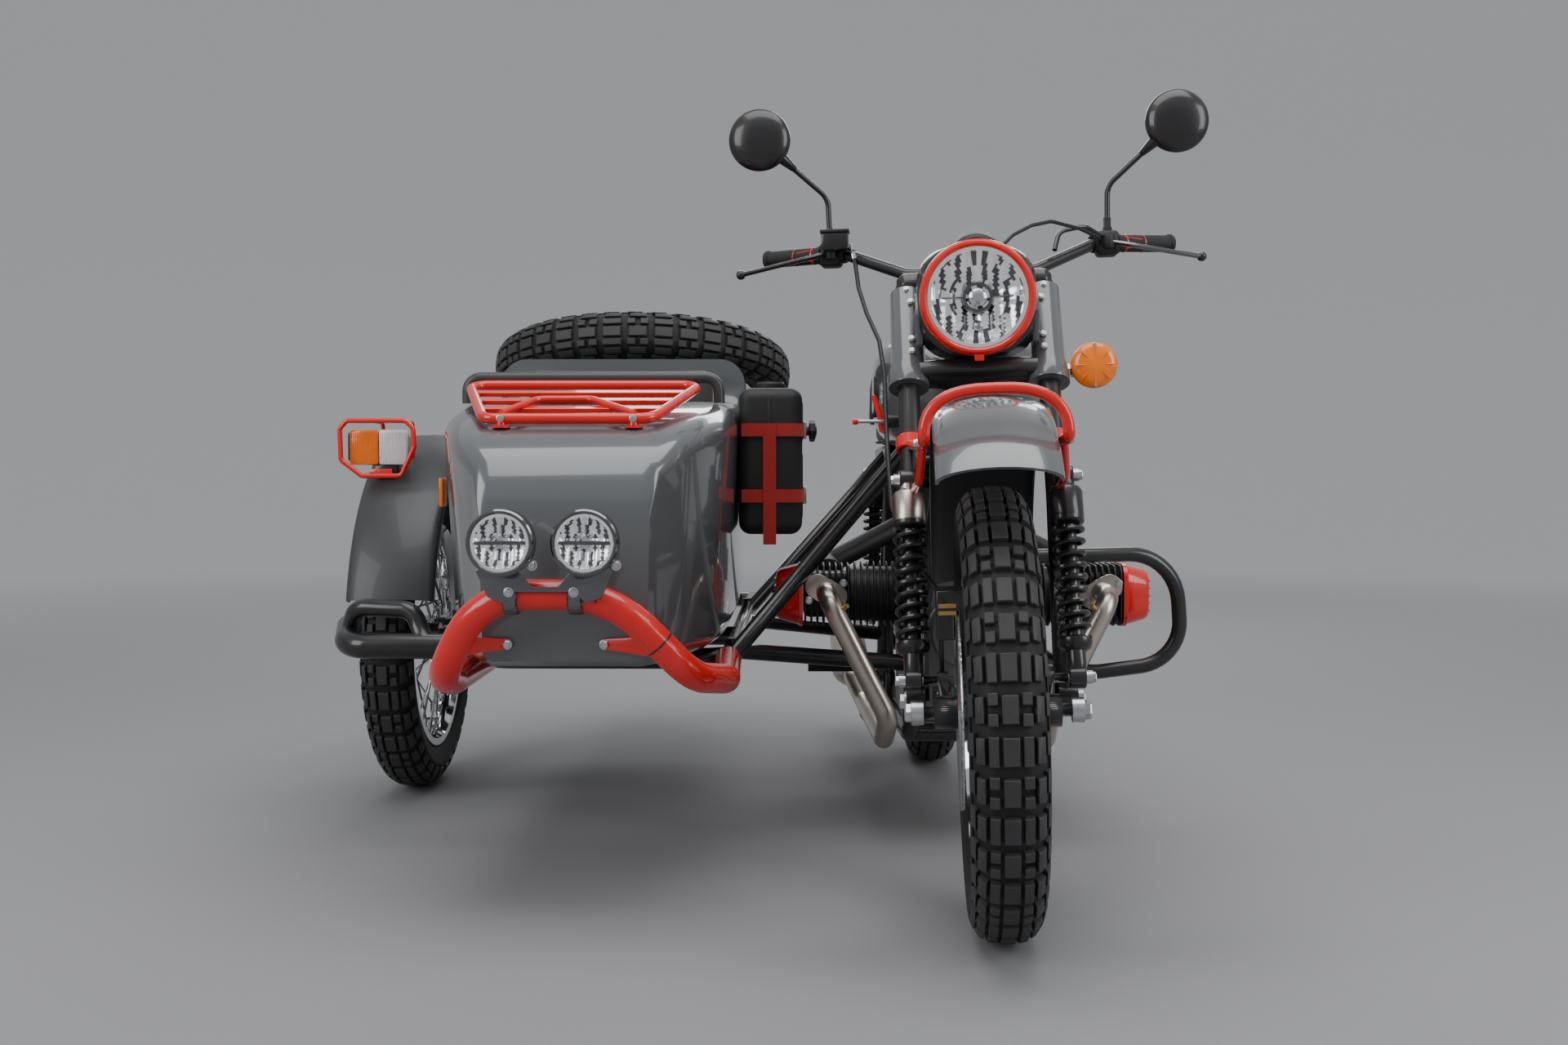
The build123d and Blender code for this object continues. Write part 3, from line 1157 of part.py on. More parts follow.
RACK_RADIUS = 9.0
RACK_FOOT_X = 108.0
FOG_LAMP_X = (-751.0, -625.0)
FOG_LAMP_Y = -1478.0
FOG_LAMP_Z = 595.0
SIDECAR_FENDER_GAP = 90.0
SIDECAR_FENDER_WIDTH = 172.0
SIDECAR_FENDER_INSET = 34.0
STAY_RADIUS = 12.0
FENDER_LAMP_Y = -578.0
CAGE_RADIUS = 5.0
JERRY_DEPTH = 118.0
JERRY_FRONT_Y = -900.0
JERRY_REAR_Y = -580.0
JERRY_LOW_Z = 580.0
JERRY_TOP_Z = 852.0


def front_shocks():
    for_side = shock(SHOCK_X["front top"], SHOCK_EYES["front bottom"], SHOCK_EYES["front top"])
    return loose(*mirrored_pair(for_side))


def rear_shocks():
    left = shock(SHOCK_X["rear top"], SHOCK_EYES["rear bottom"], SHOCK_EYES["rear top"])
    return loose(*mirrored_pair(left))


def sidecar_shock():
    return shock(SHOCK_X["sidecar top"], SHOCK_EYES["sidecar bottom"], SHOCK_EYES["sidecar top"])


STEERING_BUILDERS = [
    fork, front_swing_arm, front_shocks, front_fender, front_fender_guard, fork_shrouds,
    headlamp_shell, headlamp_rim, headlamp_lens, handlebar, hand_controls, mirrors,
    brake_caliper, turn_signal,
]
FIXED_BUILDERS = [
    main_frame, engine_case, engine_cylinders, rocker_covers, intake, exhaust_system, crash_bar,
    fuel_tank, rider_saddle, rear_fender, tail_lamp, rear_swing_arm, rear_shocks, foot_controls,
    side_covers, sidecar_frame, sidecar_swing_arm, sidecar_shock, sidecar_tub, sidecar_seat,
    nose_rack, grab_rail, nose_bumper, fog_lamps, sidecar_fender, fender_lamp, fender_lamp_guard,
    step_guard, jerry_can, jerry_can_straps, trunk_lid, spare_carrier,
]


def build_nodes():
    """Every node by its name, in the motorcycle's own coordinates."""
    nodes = {}
    core = wheel_core()
    rubber = tyre()
    drum_wheel = core + brake_drum()
    nodes["front_tyre"] = steered(Pos(*FRONT_AXLE) * rubber)
    nodes["front_wheel"] = steered(Pos(*FRONT_AXLE) * (core + brake_disc()))
    nodes["rear_tyre"] = Pos(*REAR_AXLE) * rubber
    nodes["rear_wheel"] = Pos(*REAR_AXLE) * drum_wheel
    nodes["sidecar_tyre"] = Pos(*SIDECAR_AXLE) * rubber
    nodes["sidecar_wheel"] = Pos(*SIDECAR_AXLE) * drum_wheel
    nodes["spare_tyre"] = spare_plane() * rubber
    nodes["spare_wheel"] = spare_plane() * core
    for builder in STEERING_BUILDERS:
        nodes[builder.__name__] = steered(builder())
    for builder in FIXED_BUILDERS:
        nodes[builder.__name__] = builder()
    return nodes


def row_offset(nodes):
    """Move that puts the middle of the bounding box's underside at the origin."""
    box = Compound([solid for shape in nodes.values() for solid in shape.solids()]).bounding_box()
    return Vector(-(box.min.X + box.max.X) / 2, -(box.min.Y + box.max.Y) / 2, -box.min.Z)


def main():
    nodes = build_nodes()
    offset = row_offset(nodes)
    os.makedirs("parts", exist_ok=True)
    for name, shape in nodes.items():
        export_step(Pos(*offset) * shape, f"parts/{name}.step")


if __name__ == "__main__":
    main()
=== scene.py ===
import math

import bmesh
import bpy
from mathutils import Matrix, Vector


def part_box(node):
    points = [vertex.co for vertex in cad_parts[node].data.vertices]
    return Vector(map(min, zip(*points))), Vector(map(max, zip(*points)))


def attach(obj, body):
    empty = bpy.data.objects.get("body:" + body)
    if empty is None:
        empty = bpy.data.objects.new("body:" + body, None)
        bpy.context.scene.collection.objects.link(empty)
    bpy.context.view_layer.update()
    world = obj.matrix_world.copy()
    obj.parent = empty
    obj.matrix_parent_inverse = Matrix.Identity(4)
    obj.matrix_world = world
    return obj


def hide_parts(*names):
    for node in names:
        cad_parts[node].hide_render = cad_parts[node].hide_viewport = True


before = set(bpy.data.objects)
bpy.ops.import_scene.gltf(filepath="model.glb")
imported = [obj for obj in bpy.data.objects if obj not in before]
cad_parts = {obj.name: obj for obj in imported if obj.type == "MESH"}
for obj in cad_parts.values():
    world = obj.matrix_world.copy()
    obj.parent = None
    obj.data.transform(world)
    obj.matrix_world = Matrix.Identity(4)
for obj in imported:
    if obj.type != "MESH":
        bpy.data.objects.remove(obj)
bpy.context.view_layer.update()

# Points and sizes are in millimetres in the motorcycle's own axes, as on its drawing: x = 0 is its
# middle plane, y = 0 its rear axle, z = 0 the ground; it faces -y and the sidecar is at -x.
MM = 0.001
RAKE = math.radians(27)
REST_STEER = math.radians(-4)
STEER_FOOT = Vector((0, -1530, 0))
STEER_AXIS = Vector((0, math.sin(RAKE), math.cos(RAKE)))
STEER_BACK = Vector((0, math.cos(RAKE), -math.sin(RAKE)))
HEAD_MIDDLE = STEER_FOOT + STEER_AXIS * (925 / math.cos(RAKE))
FRONT_AXLE = Vector((0, -1470, 340))
REAR_AXLE = Vector((0, 0, 340))
SIDECAR_AXLE = Vector((-1150, -320, 340))
LID_SLOPE = math.radians(12.5)
SPARE_CENTRE = Vector((-672, -113, 920))
SPARE_AXIS = Vector((0, math.sin(LID_SLOPE), math.cos(LID_SLOPE)))
TUB_X = -672.0
NOSE_X = -684.0
LEG_X, LEG_BACK = 118, -44.6              # fork legs, either side of the head and ahead of its axis
LINK_PIVOT = (-1300, 332)                 # y, z of the leading link's pivot
FRONT_SHOCK = ((-1435, 384), (-1310, 690))    # y, z of a shock's lower and upper eye
REAR_SHOCK = ((-60, 384), (-110, 690))
SIDECAR_SHOCK = ((-360, 390), (-400, 690))
HEADLAMP_FACE, HEADLAMP_BACK = (0, -1200, 989), (0, -1100, 989)
TURN_SIGNAL = (194, -1140, 872)
FENDER_AXIS = (0, -1440, 400)             # middle of the front fender's arc
CYLINDER = (-800, 463)                    # y, z of both cylinders' axis
PORT_X, PORT_Z = 257, 472                 # exhaust port
MUFFLER = ((192, -300, 243), (192, 330, 300))
FOG_LAMPS_X, FOG_LAMP_Z = (-751, -625), 595
BUMPER_TOP = (-1450, 514)                 # y, z of the bumper's top bar
BUMPER_CLAMPS_X = (-742, -644)
MARKER_Y = -578
CAN_STRAPS_Z = (652, 774)
DAMPER_LEFT, DAMPER_RIGHT = (-158, -1046, 786), (-100, -1046, 786)
GRIP_END, BAR_ELBOW = Vector((378, -805, 1112)), Vector((232, -872, 1110))
BAR_INWARD = (BAR_ELBOW - GRIP_END).normalized()

rear_low, rear_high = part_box("rear_tyre")
SHIFT = (rear_low + rear_high) / 2 - REAR_AXLE * MM
TO_ROW = Matrix.Translation(SHIFT) @ Matrix.Scale(MM, 4)
STEERED = (Matrix.Translation(STEER_FOOT) @ Matrix.Rotation(REST_STEER, 4, STEER_AXIS)
           @ Matrix.Translation(-STEER_FOOT))
PLACES = {"vehicle": TO_ROW, "trunk": TO_ROW, "rear_wheel": TO_ROW, "sidecar_wheel": TO_ROW,
          "steering": TO_ROW @ STEERED, "front_wheel": TO_ROW @ STEERED}


# Camera, light and floor

CAMERA_LENS = 37.48
CAMERA_PLACE = Vector((-298, -3920, 719))
CAMERA_DIP, CAMERA_TURN = 2.206, 0.717    # degrees


def add_camera():
    data = bpy.data.cameras.new("camera")
    data.lens, data.sensor_width = CAMERA_LENS, 36
    camera = bpy.data.objects.new("camera", data)
    camera.location = TO_ROW @ CAMERA_PLACE
    camera.rotation_euler = (math.radians(90 - CAMERA_DIP), 0, math.radians(CAMERA_TURN))
    bpy.context.scene.collection.objects.link(camera)
    bpy.context.scene.camera = camera


def add_light(name, place, target, size, power):
    data = bpy.data.lights.new(name, "AREA")
    data.shape = "RECTANGLE"
    data.size, data.size_y = size
    data.energy = power
    lamp = bpy.data.objects.new(name, data)
    lamp.location = place
    lamp.rotation_euler = (Vector(target) - Vector(place)).to_track_quat("-Z", "Y").to_euler()
    bpy.context.scene.collection.objects.link(lamp)


def backdrop():
    """Floor finish whose far parts are lit evenly, like the curved back of a photo studio."""
    material = finish("pale_floor", (0.30, 0.30, 0.31), 0.9, grain=2, mottle=0.02)
    nodes, links = material.node_tree.nodes, material.node_tree.links
    place = nodes.new("ShaderNodeTexCoord")
    reach = nodes.new("ShaderNodeVectorMath")
    reach.operation = "LENGTH"
    glow = nodes.new("ShaderNodeMapRange")
    glow.interpolation_type = "SMOOTHSTEP"
    glow.inputs["From Min"].default_value = 2.0
    glow.inputs["From Max"].default_value = 9.0
    glow.inputs["To Max"].default_value = 0.20
    shader = nodes["Principled BSDF"]
    shader.inputs["Emission Color"].default_value = (0.98, 0.99, 1.0, 1)
    links.new(place.outputs["Object"], reach.inputs[0])
    links.new(reach.outputs["Value"], glow.inputs["Value"])
    links.new(glow.outputs["Result"], shader.inputs["Emission Strength"])
    return material


def add_stage():
    """Pale studio floor that curves up into its own backdrop, and the soft lights."""
    world = bpy.data.worlds.new("room")
    world.use_nodes = True
    world.node_tree.nodes["Background"].inputs["Color"].default_value = (0.66, 0.67, 0.69, 1)
    world.node_tree.nodes["Background"].inputs["Strength"].default_value = 0.75
    bpy.context.scene.world = world
    radius, bend, height, sides = 9.0, 3.5, 7.5, 72
    outline = [(0.01, 0), (radius * 0.5, 0)]
    outline += [(radius + bend * math.sin(step * math.pi / 24), bend - bend * math.cos(step * math.pi / 24))
                for step in range(13)]
    outline.append((radius + bend, height))
    points = [(r * math.cos(k * math.tau / sides), r * math.sin(k * math.tau / sides), z)
              for r, z in outline for k in range(sides)]
    faces = [(row * sides + k, row * sides + (k + 1) % sides, (row + 1) * sides + (k + 1) % sides,
              (row + 1) * sides + k) for row in range(len(outline) - 1) for k in range(sides)]
    faces.append(tuple(range(sides))[::-1])
    mesh = bpy.data.meshes.new("floor")
    mesh.from_pydata(points, [], faces)
    mesh.shade_smooth()
    floor = bpy.data.objects.new("floor", mesh)
    bpy.context.scene.collection.objects.link(floor)
    floor.data.materials.append(backdrop())
    add_light("softbox_top", (0.2, -0.8, 3.8), (0, 0, 0.4), (3.4, 2.4), 80)
    add_light("softbox_left", (-3.6, -3.2, 2.6), (-0.3, 0, 0.5), (2.2, 2.8), 85)
    add_light("softbox_right", (3.8, -2.4, 2.2), (0.2, 0, 0.5), (1.8, 2.8), 70)
    add_light("softbox_back", (0.5, 4.2, 3.0), (0, 0, 0.7), (3.0, 1.4), 60)


# Finishes

def finish(name, colour, roughness, metallic=0.0, coat=0.0, grain=40.0, bump=0.0, spread=0.08,
           mottle=0.12, sheen=0.0, emission=0.0, transmission=0.0, alpha=1.0, specks=6):
    """Surface whose colour, roughness and relief vary with noise at a grain of so many per metre."""
    material = bpy.data.materials.new(name)
    material.use_nodes = True
    nodes, links = material.node_tree.nodes, material.node_tree.links
    shader = nodes["Principled BSDF"]
    place = nodes.new("ShaderNodeTexCoord")
    noise = nodes.new("ShaderNodeTexNoise")
    noise.inputs["Scale"].default_value = grain
    noise.inputs["Detail"].default_value = 5
    links.new(place.outputs["Object"], noise.inputs["Vector"])
    tint = nodes.new("ShaderNodeMix")
    tint.data_type = "RGBA"
    tint.inputs[6].default_value = (*[channel * (1 - mottle) for channel in colour], 1)
    tint.inputs[7].default_value = (*[min(1, channel * (1 + mottle)) for channel in colour], 1)
    links.new(noise.outputs["Fac"], tint.inputs[0])
    links.new(tint.outputs[2], shader.inputs["Base Color"])
    rough = nodes.new("ShaderNodeMapRange")
    rough.inputs["To Min"].default_value = max(0.02, roughness - spread)
    rough.inputs["To Max"].default_value = min(1, roughness + spread)
    links.new(noise.outputs["Fac"], rough.inputs["Value"])
    links.new(rough.outputs["Result"], shader.inputs["Roughness"])
    shader.inputs["Metallic"].default_value = metallic
    shader.inputs["Coat Weight"].default_value = coat
    shader.inputs["Coat Roughness"].default_value = 0.04
    shader.inputs["Sheen Weight"].default_value = sheen
    shader.inputs["Transmission Weight"].default_value = transmission
    shader.inputs["IOR"].default_value = 1.2 if transmission else 1.5
    shader.inputs["Alpha"].default_value = alpha
    # emission paints a glow into the surface colour; no light stands behind it
    if emission:
        shader.inputs["Emission Color"].default_value = (*colour, 1)
        shader.inputs["Emission Strength"].default_value = emission
    if bump:
        fine = nodes.new("ShaderNodeTexNoise")
        fine.inputs["Scale"].default_value = grain * specks
        fine.inputs["Detail"].default_value = 4
        links.new(place.outputs["Object"], fine.inputs["Vector"])
        relief = nodes.new("ShaderNodeBump")
        relief.inputs["Strength"].default_value = bump
        relief.inputs["Distance"].default_value = 0.001
        links.new(fine.outputs["Fac"], relief.inputs["Height"])
        links.new(relief.outputs["Normal"], shader.inputs["Normal"])
    return material


GREY_PAINT = finish("grey_paint", (0.105, 0.112, 0.118), 0.22, coat=1.0, grain=6, mottle=0.05, spread=0.04)
DARK_PAINT = finish("dark_grey_paint", (0.042, 0.044, 0.046), 0.42, grain=20, bump=0.05, coat=0.15)
RED_PAINT = finish("signal_red_paint", (0.78, 0.010, 0.006), 0.26, coat=0.6, grain=8, mottle=0.04)
BLACK_PAINT = finish("satin_black_paint", (0.014, 0.014, 0.015), 0.30, coat=0.4, grain=25, bump=0.03)
MATT_BLACK = finish("matt_black_plastic", (0.018, 0.018, 0.019), 0.55, grain=60, bump=0.12)
CAST_METAL = finish("cast_engine_metal", (0.22, 0.22, 0.22), 0.42, metallic=0.9, grain=50, bump=0.25)
DARK_METAL = finish("black_engine_metal", (0.030, 0.030, 0.031), 0.45, metallic=0.4, grain=60, bump=0.25)
CHROME = finish("chrome", (0.72, 0.73, 0.74), 0.07, metallic=1.0, grain=12, mottle=0.03, spread=0.03)
DARK_CHROME = finish("dark_chrome", (0.20, 0.20, 0.21), 0.14, metallic=1.0, grain=12, mottle=0.03)
ZINC = finish("zinc_bolts", (0.62, 0.63, 0.64), 0.28, metallic=1.0, grain=60)
BRIGHT_STEEL = finish("bright_steel", (0.52, 0.53, 0.54), 0.24, metallic=1.0, grain=30)
NICKEL = finish("brushed_nickel_pipe", (0.56, 0.50, 0.44), 0.30, metallic=1.0, grain=14, mottle=0.10)
TYRE_RUBBER = finish("tyre_rubber", (0.014, 0.014, 0.015), 0.68, grain=45, bump=0.35, mottle=0.25)
# Tread blocks: the tyre's rubber made three times lighter, a painted light on the blocks against the darker
# grooves
LUG_RUBBER_PAINTED_LIGHT = finish("tread_block_rubber_painted_light", (0.042, 0.042, 0.043), 0.58, grain=45, bump=0.35, mottle=0.25)
GRIP_RUBBER = finish("grip_rubber", (0.018, 0.018, 0.018), 0.7, grain=120, bump=0.3)
HOSE_RUBBER = finish("hose_rubber", (0.014, 0.014, 0.014), 0.45, grain=90, bump=0.1)
SEAT_COVER = finish("seat_cover", (0.060, 0.054, 0.050), 0.5, grain=160, bump=0.5, sheen=0.15)
SADDLE_COVER = finish("saddle_cover", (0.020, 0.020, 0.020), 0.48, grain=160, bump=0.5)
CLEAR_GLASS = finish("clear_lens", (0.95, 0.97, 1.0), 0.03, transmission=1.0, alpha=0.35, grain=5,
                     mottle=0.0, spread=0.01)
# Darker copy of the reflector chrome, laid on some flutes as painted dark reflections; it is the same metal
# as the bright flutes
FLUTE_PAINTED_DARK = finish("lamp_reflector_painted_dark_reflection", (0.16, 0.165, 0.17), 0.12, metallic=1.0, grain=20, mottle=0.05)
MIRROR_GLASS = finish("mirror_glass", (0.85, 0.87, 0.88), 0.03, metallic=1.0, grain=4, mottle=0.01,
                      spread=0.01)
# Amber lens with a painted glow (emission 0.06): no light is lit in the turn signal or marker lamp, and the
# side reflector is no lamp
AMBER_LENS = finish("amber_lens", (0.95, 0.20, 0.004), 0.16, coat=0.5, grain=60, bump=0.2, emission=0.06)
# Lamp reflector chrome with a painted glow (emission 0.16) standing in for bright reflections; no light is
# placed in the lamps
REFLECTOR_PAINTED_GLOW = finish("lamp_reflector_painted_glow", (0.90, 0.90, 0.91), 0.13, metallic=1.0, grain=20, mottle=0.05,
                   emission=0.16)
CLEAR_LAMP = finish("clear_lamp_lens", (0.80, 0.80, 0.82), 0.14, coat=0.9, grain=60, bump=0.3)
RED_LENS = finish("red_lens", (0.55, 0.01, 0.01), 0.12, coat=0.8, grain=60, bump=0.2)
WEBBING = finish("red_webbing", (0.50, 0.016, 0.012), 0.7, grain=400, bump=0.7, sheen=0.3)
BRASS_PAD = finish("sintered_brass", (0.55, 0.36, 0.14), 0.4, metallic=1.0, grain=80, bump=0.2)
DIAL_FACE = finish("dial_face", (0.02, 0.02, 0.022), 0.35, grain=30, mottle=0.05)


# Patches: lists of points and faces, in millimetres

class Shape:
    """Mesh under construction, each patch with its own finish."""

    def __init__(self):
        self.points, self.faces, self.marks, self.finishes = [], [], [], []

    def add(self, patch, material):
        points, faces = patch
        start = len(self.points)
        if material not in self.finishes:
            self.finishes.append(material)
        self.points += [Vector(point) for point in points]
        self.faces += [[start + corner for corner in face] for face in faces]
        self.marks += [self.finishes.index(material)] * len(faces)
        return self


def moved(patch, matrix):
    return [matrix @ Vector(point) for point in patch[0]], patch[1]


def stitched(rings, closed=False, ends=True):
    """Surface through rings of as many points each; closed joins the last ring to the first."""
    count = len(rings[0])
    points = [point for ring in rings for point in ring]
    faces = []
    for row in range(len(rings) if closed else len(rings) - 1):
        near, far = row * count, (row + 1) % len(rings) * count
        faces += [(near + k, near + (k + 1) % count, far + (k + 1) % count, far + k) for k in range(count)]
    if ends and not closed:
        faces.append(tuple(range(count))[::-1])
        faces.append(tuple(range(len(points) - count, len(points))))
    return points, faces


def turned(start, end, outline, sides=40, closed=False):
    """Turned surface about the line from start to end; the outline gives (radius, distance along)."""
    start = Vector(start)
    axis = (Vector(end) - start).normalized()
    across = axis.orthogonal().normalized()
    up = axis.cross(across)
    rings = [[start + axis * along + (across * math.cos(k * math.tau / sides)
                                      + up * math.sin(k * math.tau / sides)) * radius
              for k in range(sides)] for radius, along in outline]
    return stitched(rings, closed, ends=outline[0][0] > 0 or outline[-1][0] > 0)


def rounded_route(route, bend):
    """Points along a route whose corners are turned with one bend radius, or with one each."""
    route = [Vector(point) for point in route]
    bends = bend if isinstance(bend, (list, tuple)) else [bend] * (len(route) - 2)
    path = [route[0]]
    for before, corner, after, radius in zip(route, route[1:], route[2:], bends):
        inward, outward = (corner - before).normalized(), (after - corner).normalized()
        turn = inward.angle(outward)
        if turn < 0.02 or not radius:
            path.append(corner)
            continue
        reach = min(radius * math.tan(turn / 2), 0.49 * (corner - before).length,
                    0.49 * (after - corner).length)
        radius = reach / math.tan(turn / 2)
        square = (outward - inward * inward.dot(outward)).normalized()
        steps = max(3, round(turn / 0.16))
        for step in range(steps + 1):
            angle = turn * step / steps
            path.append(corner - inward * reach + inward * (radius * math.sin(angle))
                        + square * (radius * (1 - math.cos(angle))))
    return path + [route[-1]]


def tube(route, radius, bend=30, sides=16, closed=False, section=None, up=None):
    """Bar along a route; section, as (across, up) pairs, replaces the round one."""
    if closed:
        route = [Vector(point) for point in route]
        middle = (route[0] + route[-1]) / 2
        path = rounded_route([middle] + route + [middle], bend)[:-1]
    else:
        path = rounded_route(route, bend)
    section = section or [(radius * math.cos(k * math.tau / sides), radius * math.sin(k * math.tau / sides))
                          for k in range(sides)]
    rings, aim, side = [], None, None
    for number, place in enumerate(path):
        after = path[(number + 1) % len(path)] if closed or number + 1 < len(path) else None
        before = path[number - 1] if closed or number else None
        tangent = Vector((0, 0, 0))
        for near, far in ((before, place), (place, after)):
            if near is not None and far is not None and (far - near).length > 1e-6:
                tangent += (far - near).normalized()
        tangent.normalize()
        if side is None:
            side = (Vector(up).cross(tangent) if up else tangent.orthogonal()).normalized()
        else:
            side = aim.rotation_difference(tangent) @ side
        aim = tangent
        high = tangent.cross(side)
        rings.append([place + side * x + high * y for x, y in section])
    return stitched(rings, closed)


def bevelled(points, faces, corner, steps=2, flat=30):
    """Patch with its sharp edges rounded."""
    work = bmesh.new()
    corners = [work.verts.new(point) for point in points]
    for face in faces:
        work.faces.new([corners[index] for index in face])
    bmesh.ops.recalc_face_normals(work, faces=work.faces)
    if corner:
        sharp = [edge for edge in work.edges
                 if len(edge.link_faces) == 2 and edge.calc_face_angle() > math.radians(flat)]
        bmesh.ops.bevel(work, geom=sharp, offset=corner, segments=steps, profile=0.5, affect="EDGES",
                        clamp_overlap=True)
    work.verts.index_update()
    points = [vert.co.copy() for vert in work.verts]
    faces = [[vert.index for vert in face.verts] for face in work.faces]
    work.free()
    return points, faces


def box(low, high, corner=3.0, steps=2):
    """Block with rounded edges between two corners."""
    (x, y, z), (far_x, far_y, far_z) = low, high
    ring = [(x, y), (far_x, y), (far_x, far_y), (x, far_y)]
    rings = [[Vector((a, b, height)) for a, b in ring] for height in (z, far_z)]
    return bevelled(*stitched(rings), corner, steps)


def plate(outline, origin, across, up, depth, corner=1.0, steps=2):
    """Flat piece with the outline drawn on a plane, with its depth along the plane's normal."""
    origin, across, up = Vector(origin), Vector(across).normalized(), Vector(up).normalized()
    normal = across.cross(up)
    rings = [[origin + across * x + up * y + normal * level for x, y in outline] for level in (0, depth)]
    return bevelled(*stitched(rings), corner, steps)


def rounded_ring(centre, across, up, half_across, half_up, corner, steps=5):
    """Points round a rounded rectangle."""
    ring = []
    for quarter, (side, rise) in enumerate(((1, 1), (-1, 1), (-1, -1), (1, -1))):
        for step in range(steps + 1):
            angle = math.radians(90 * quarter + 90 * step / steps)
            ring.append(centre + across * (side * (half_across - corner) + corner * math.cos(angle))
                        + up * (rise * (half_up - corner) + corner * math.sin(angle)))
    return ring


def smoothed(rows, steps=4):
    """Rows of numbers with smooth ones in between."""
    found = []
    for number in range(len(rows) - 1):
        before = rows[max(0, number - 1)]
        near, far = rows[number], rows[number + 1]
        after = rows[min(len(rows) - 1, number + 2)]
        for step in range(steps):
            share = step / steps
            found.append([0.5 * (2 * b + (c - a) * share + (2 * a - 5 * b + 4 * c - d) * share ** 2
                                 + (3 * b - a - 3 * c + d) * share ** 3)
                          for a, b, c, d in zip(before, near, far, after)])
    return found + [list(rows[-1])]


def body_through(rows, steps=4):
    """Body through rounded sections across the motorcycle: y, low z, high z, half width, corner."""
    rings = []
    rows = smoothed(rows, steps)
    first, last = list(rows[0]), list(rows[-1])
    for end, side in ((first, -1), (last, 1)):
        end[0] += side * 0.5
        end[1] += 6
        end[2] -= 6
        end[3] -= 6
        end[4] = max(2, end[4] - 6)
    for y, low, high, half, corner in [first] + rows + [last]:
        corner = min(corner, half - 1, (high - low) / 2 - 1)
        rings.append(rounded_ring(Vector((0, y, (low + high) / 2)), Vector((1, 0, 0)), Vector((0, 0, 1)),
                                  half, (high - low) / 2, corner))
    return stitched(rings)


def arch(centre, inner, width, low, high, skirt, rise, sheet=4.0, steps=40):
    """Fender sheet about an x axis, from angle low to high, counted from the rear over the top."""
    half = width / 2

    def crown(reach, top):
        return [(reach * math.sin(math.radians(share)), top - rise + rise * math.cos(math.radians(share)))
                for share in range(90, -91, -15)]

    section = crown(half, inner + sheet) + [(-half, inner - skirt + 2), (-half + 1, inner - skirt)]
    section += [(-half + sheet, inner - skirt)] + crown(half - sheet, inner)[::-1]
    section += [(half - sheet, inner - skirt), (half - 1, inner - skirt), (half, inner - skirt + 2)]
    rings = []
    for step in range(steps + 1):
        angle = math.radians(low + (high - low) * step / steps)
        rings.append([Vector(centre) + Vector((x, r * math.cos(angle), r * math.sin(angle)))
                      for x, r in section])
    return stitched(rings)


# Geometry Nodes: what repeats

def group_socket(tree, name, kind, out=False):
    return tree.interface.new_socket(name, in_out="OUTPUT" if out else "INPUT",
                                     socket_type="NodeSocket" + kind)


def repeat_tree():
    """So many copies of a patch, each one step and one turn on from the last."""
    tree = bpy.data.node_groups.new("repeat", "GeometryNodeTree")
    group_socket(tree, "Geometry", "Geometry")
    group_socket(tree, "Copies", "Int")
    group_socket(tree, "Step", "Vector")
    group_socket(tree, "Turn", "Vector")
    group_socket(tree, "Finish", "Material")
    group_socket(tree, "Geometry", "Geometry", out=True)
    nodes, links = tree.nodes, tree.links
    given, result = nodes.new("NodeGroupInput"), nodes.new("NodeGroupOutput")
    row = nodes.new("GeometryNodeMeshLine")
    index = nodes.new("GeometryNodeInputIndex")
    turn = nodes.new("ShaderNodeVectorMath")
    turn.operation = "SCALE"
    copies = nodes.new("GeometryNodeInstanceOnPoints")
    real = nodes.new("GeometryNodeRealizeInstances")
    paint = nodes.new("GeometryNodeSetMaterial")
    links.new(given.outputs["Copies"], row.inputs["Count"])
    links.new(given.outputs["Step"], row.inputs["Offset"])
    links.new(given.outputs["Turn"], turn.inputs[0])
    links.new(index.outputs[0], turn.inputs["Scale"])
    links.new(row.outputs[0], copies.inputs["Points"])
    links.new(given.outputs["Geometry"], copies.inputs["Instance"])
    links.new(turn.outputs[0], copies.inputs["Rotation"])
    links.new(copies.outputs[0], real.inputs[0])
    links.new(real.outputs[0], paint.inputs["Geometry"])
    links.new(given.outputs["Finish"], paint.inputs["Material"])
    links.new(paint.outputs[0], result.inputs[0])
    return tree


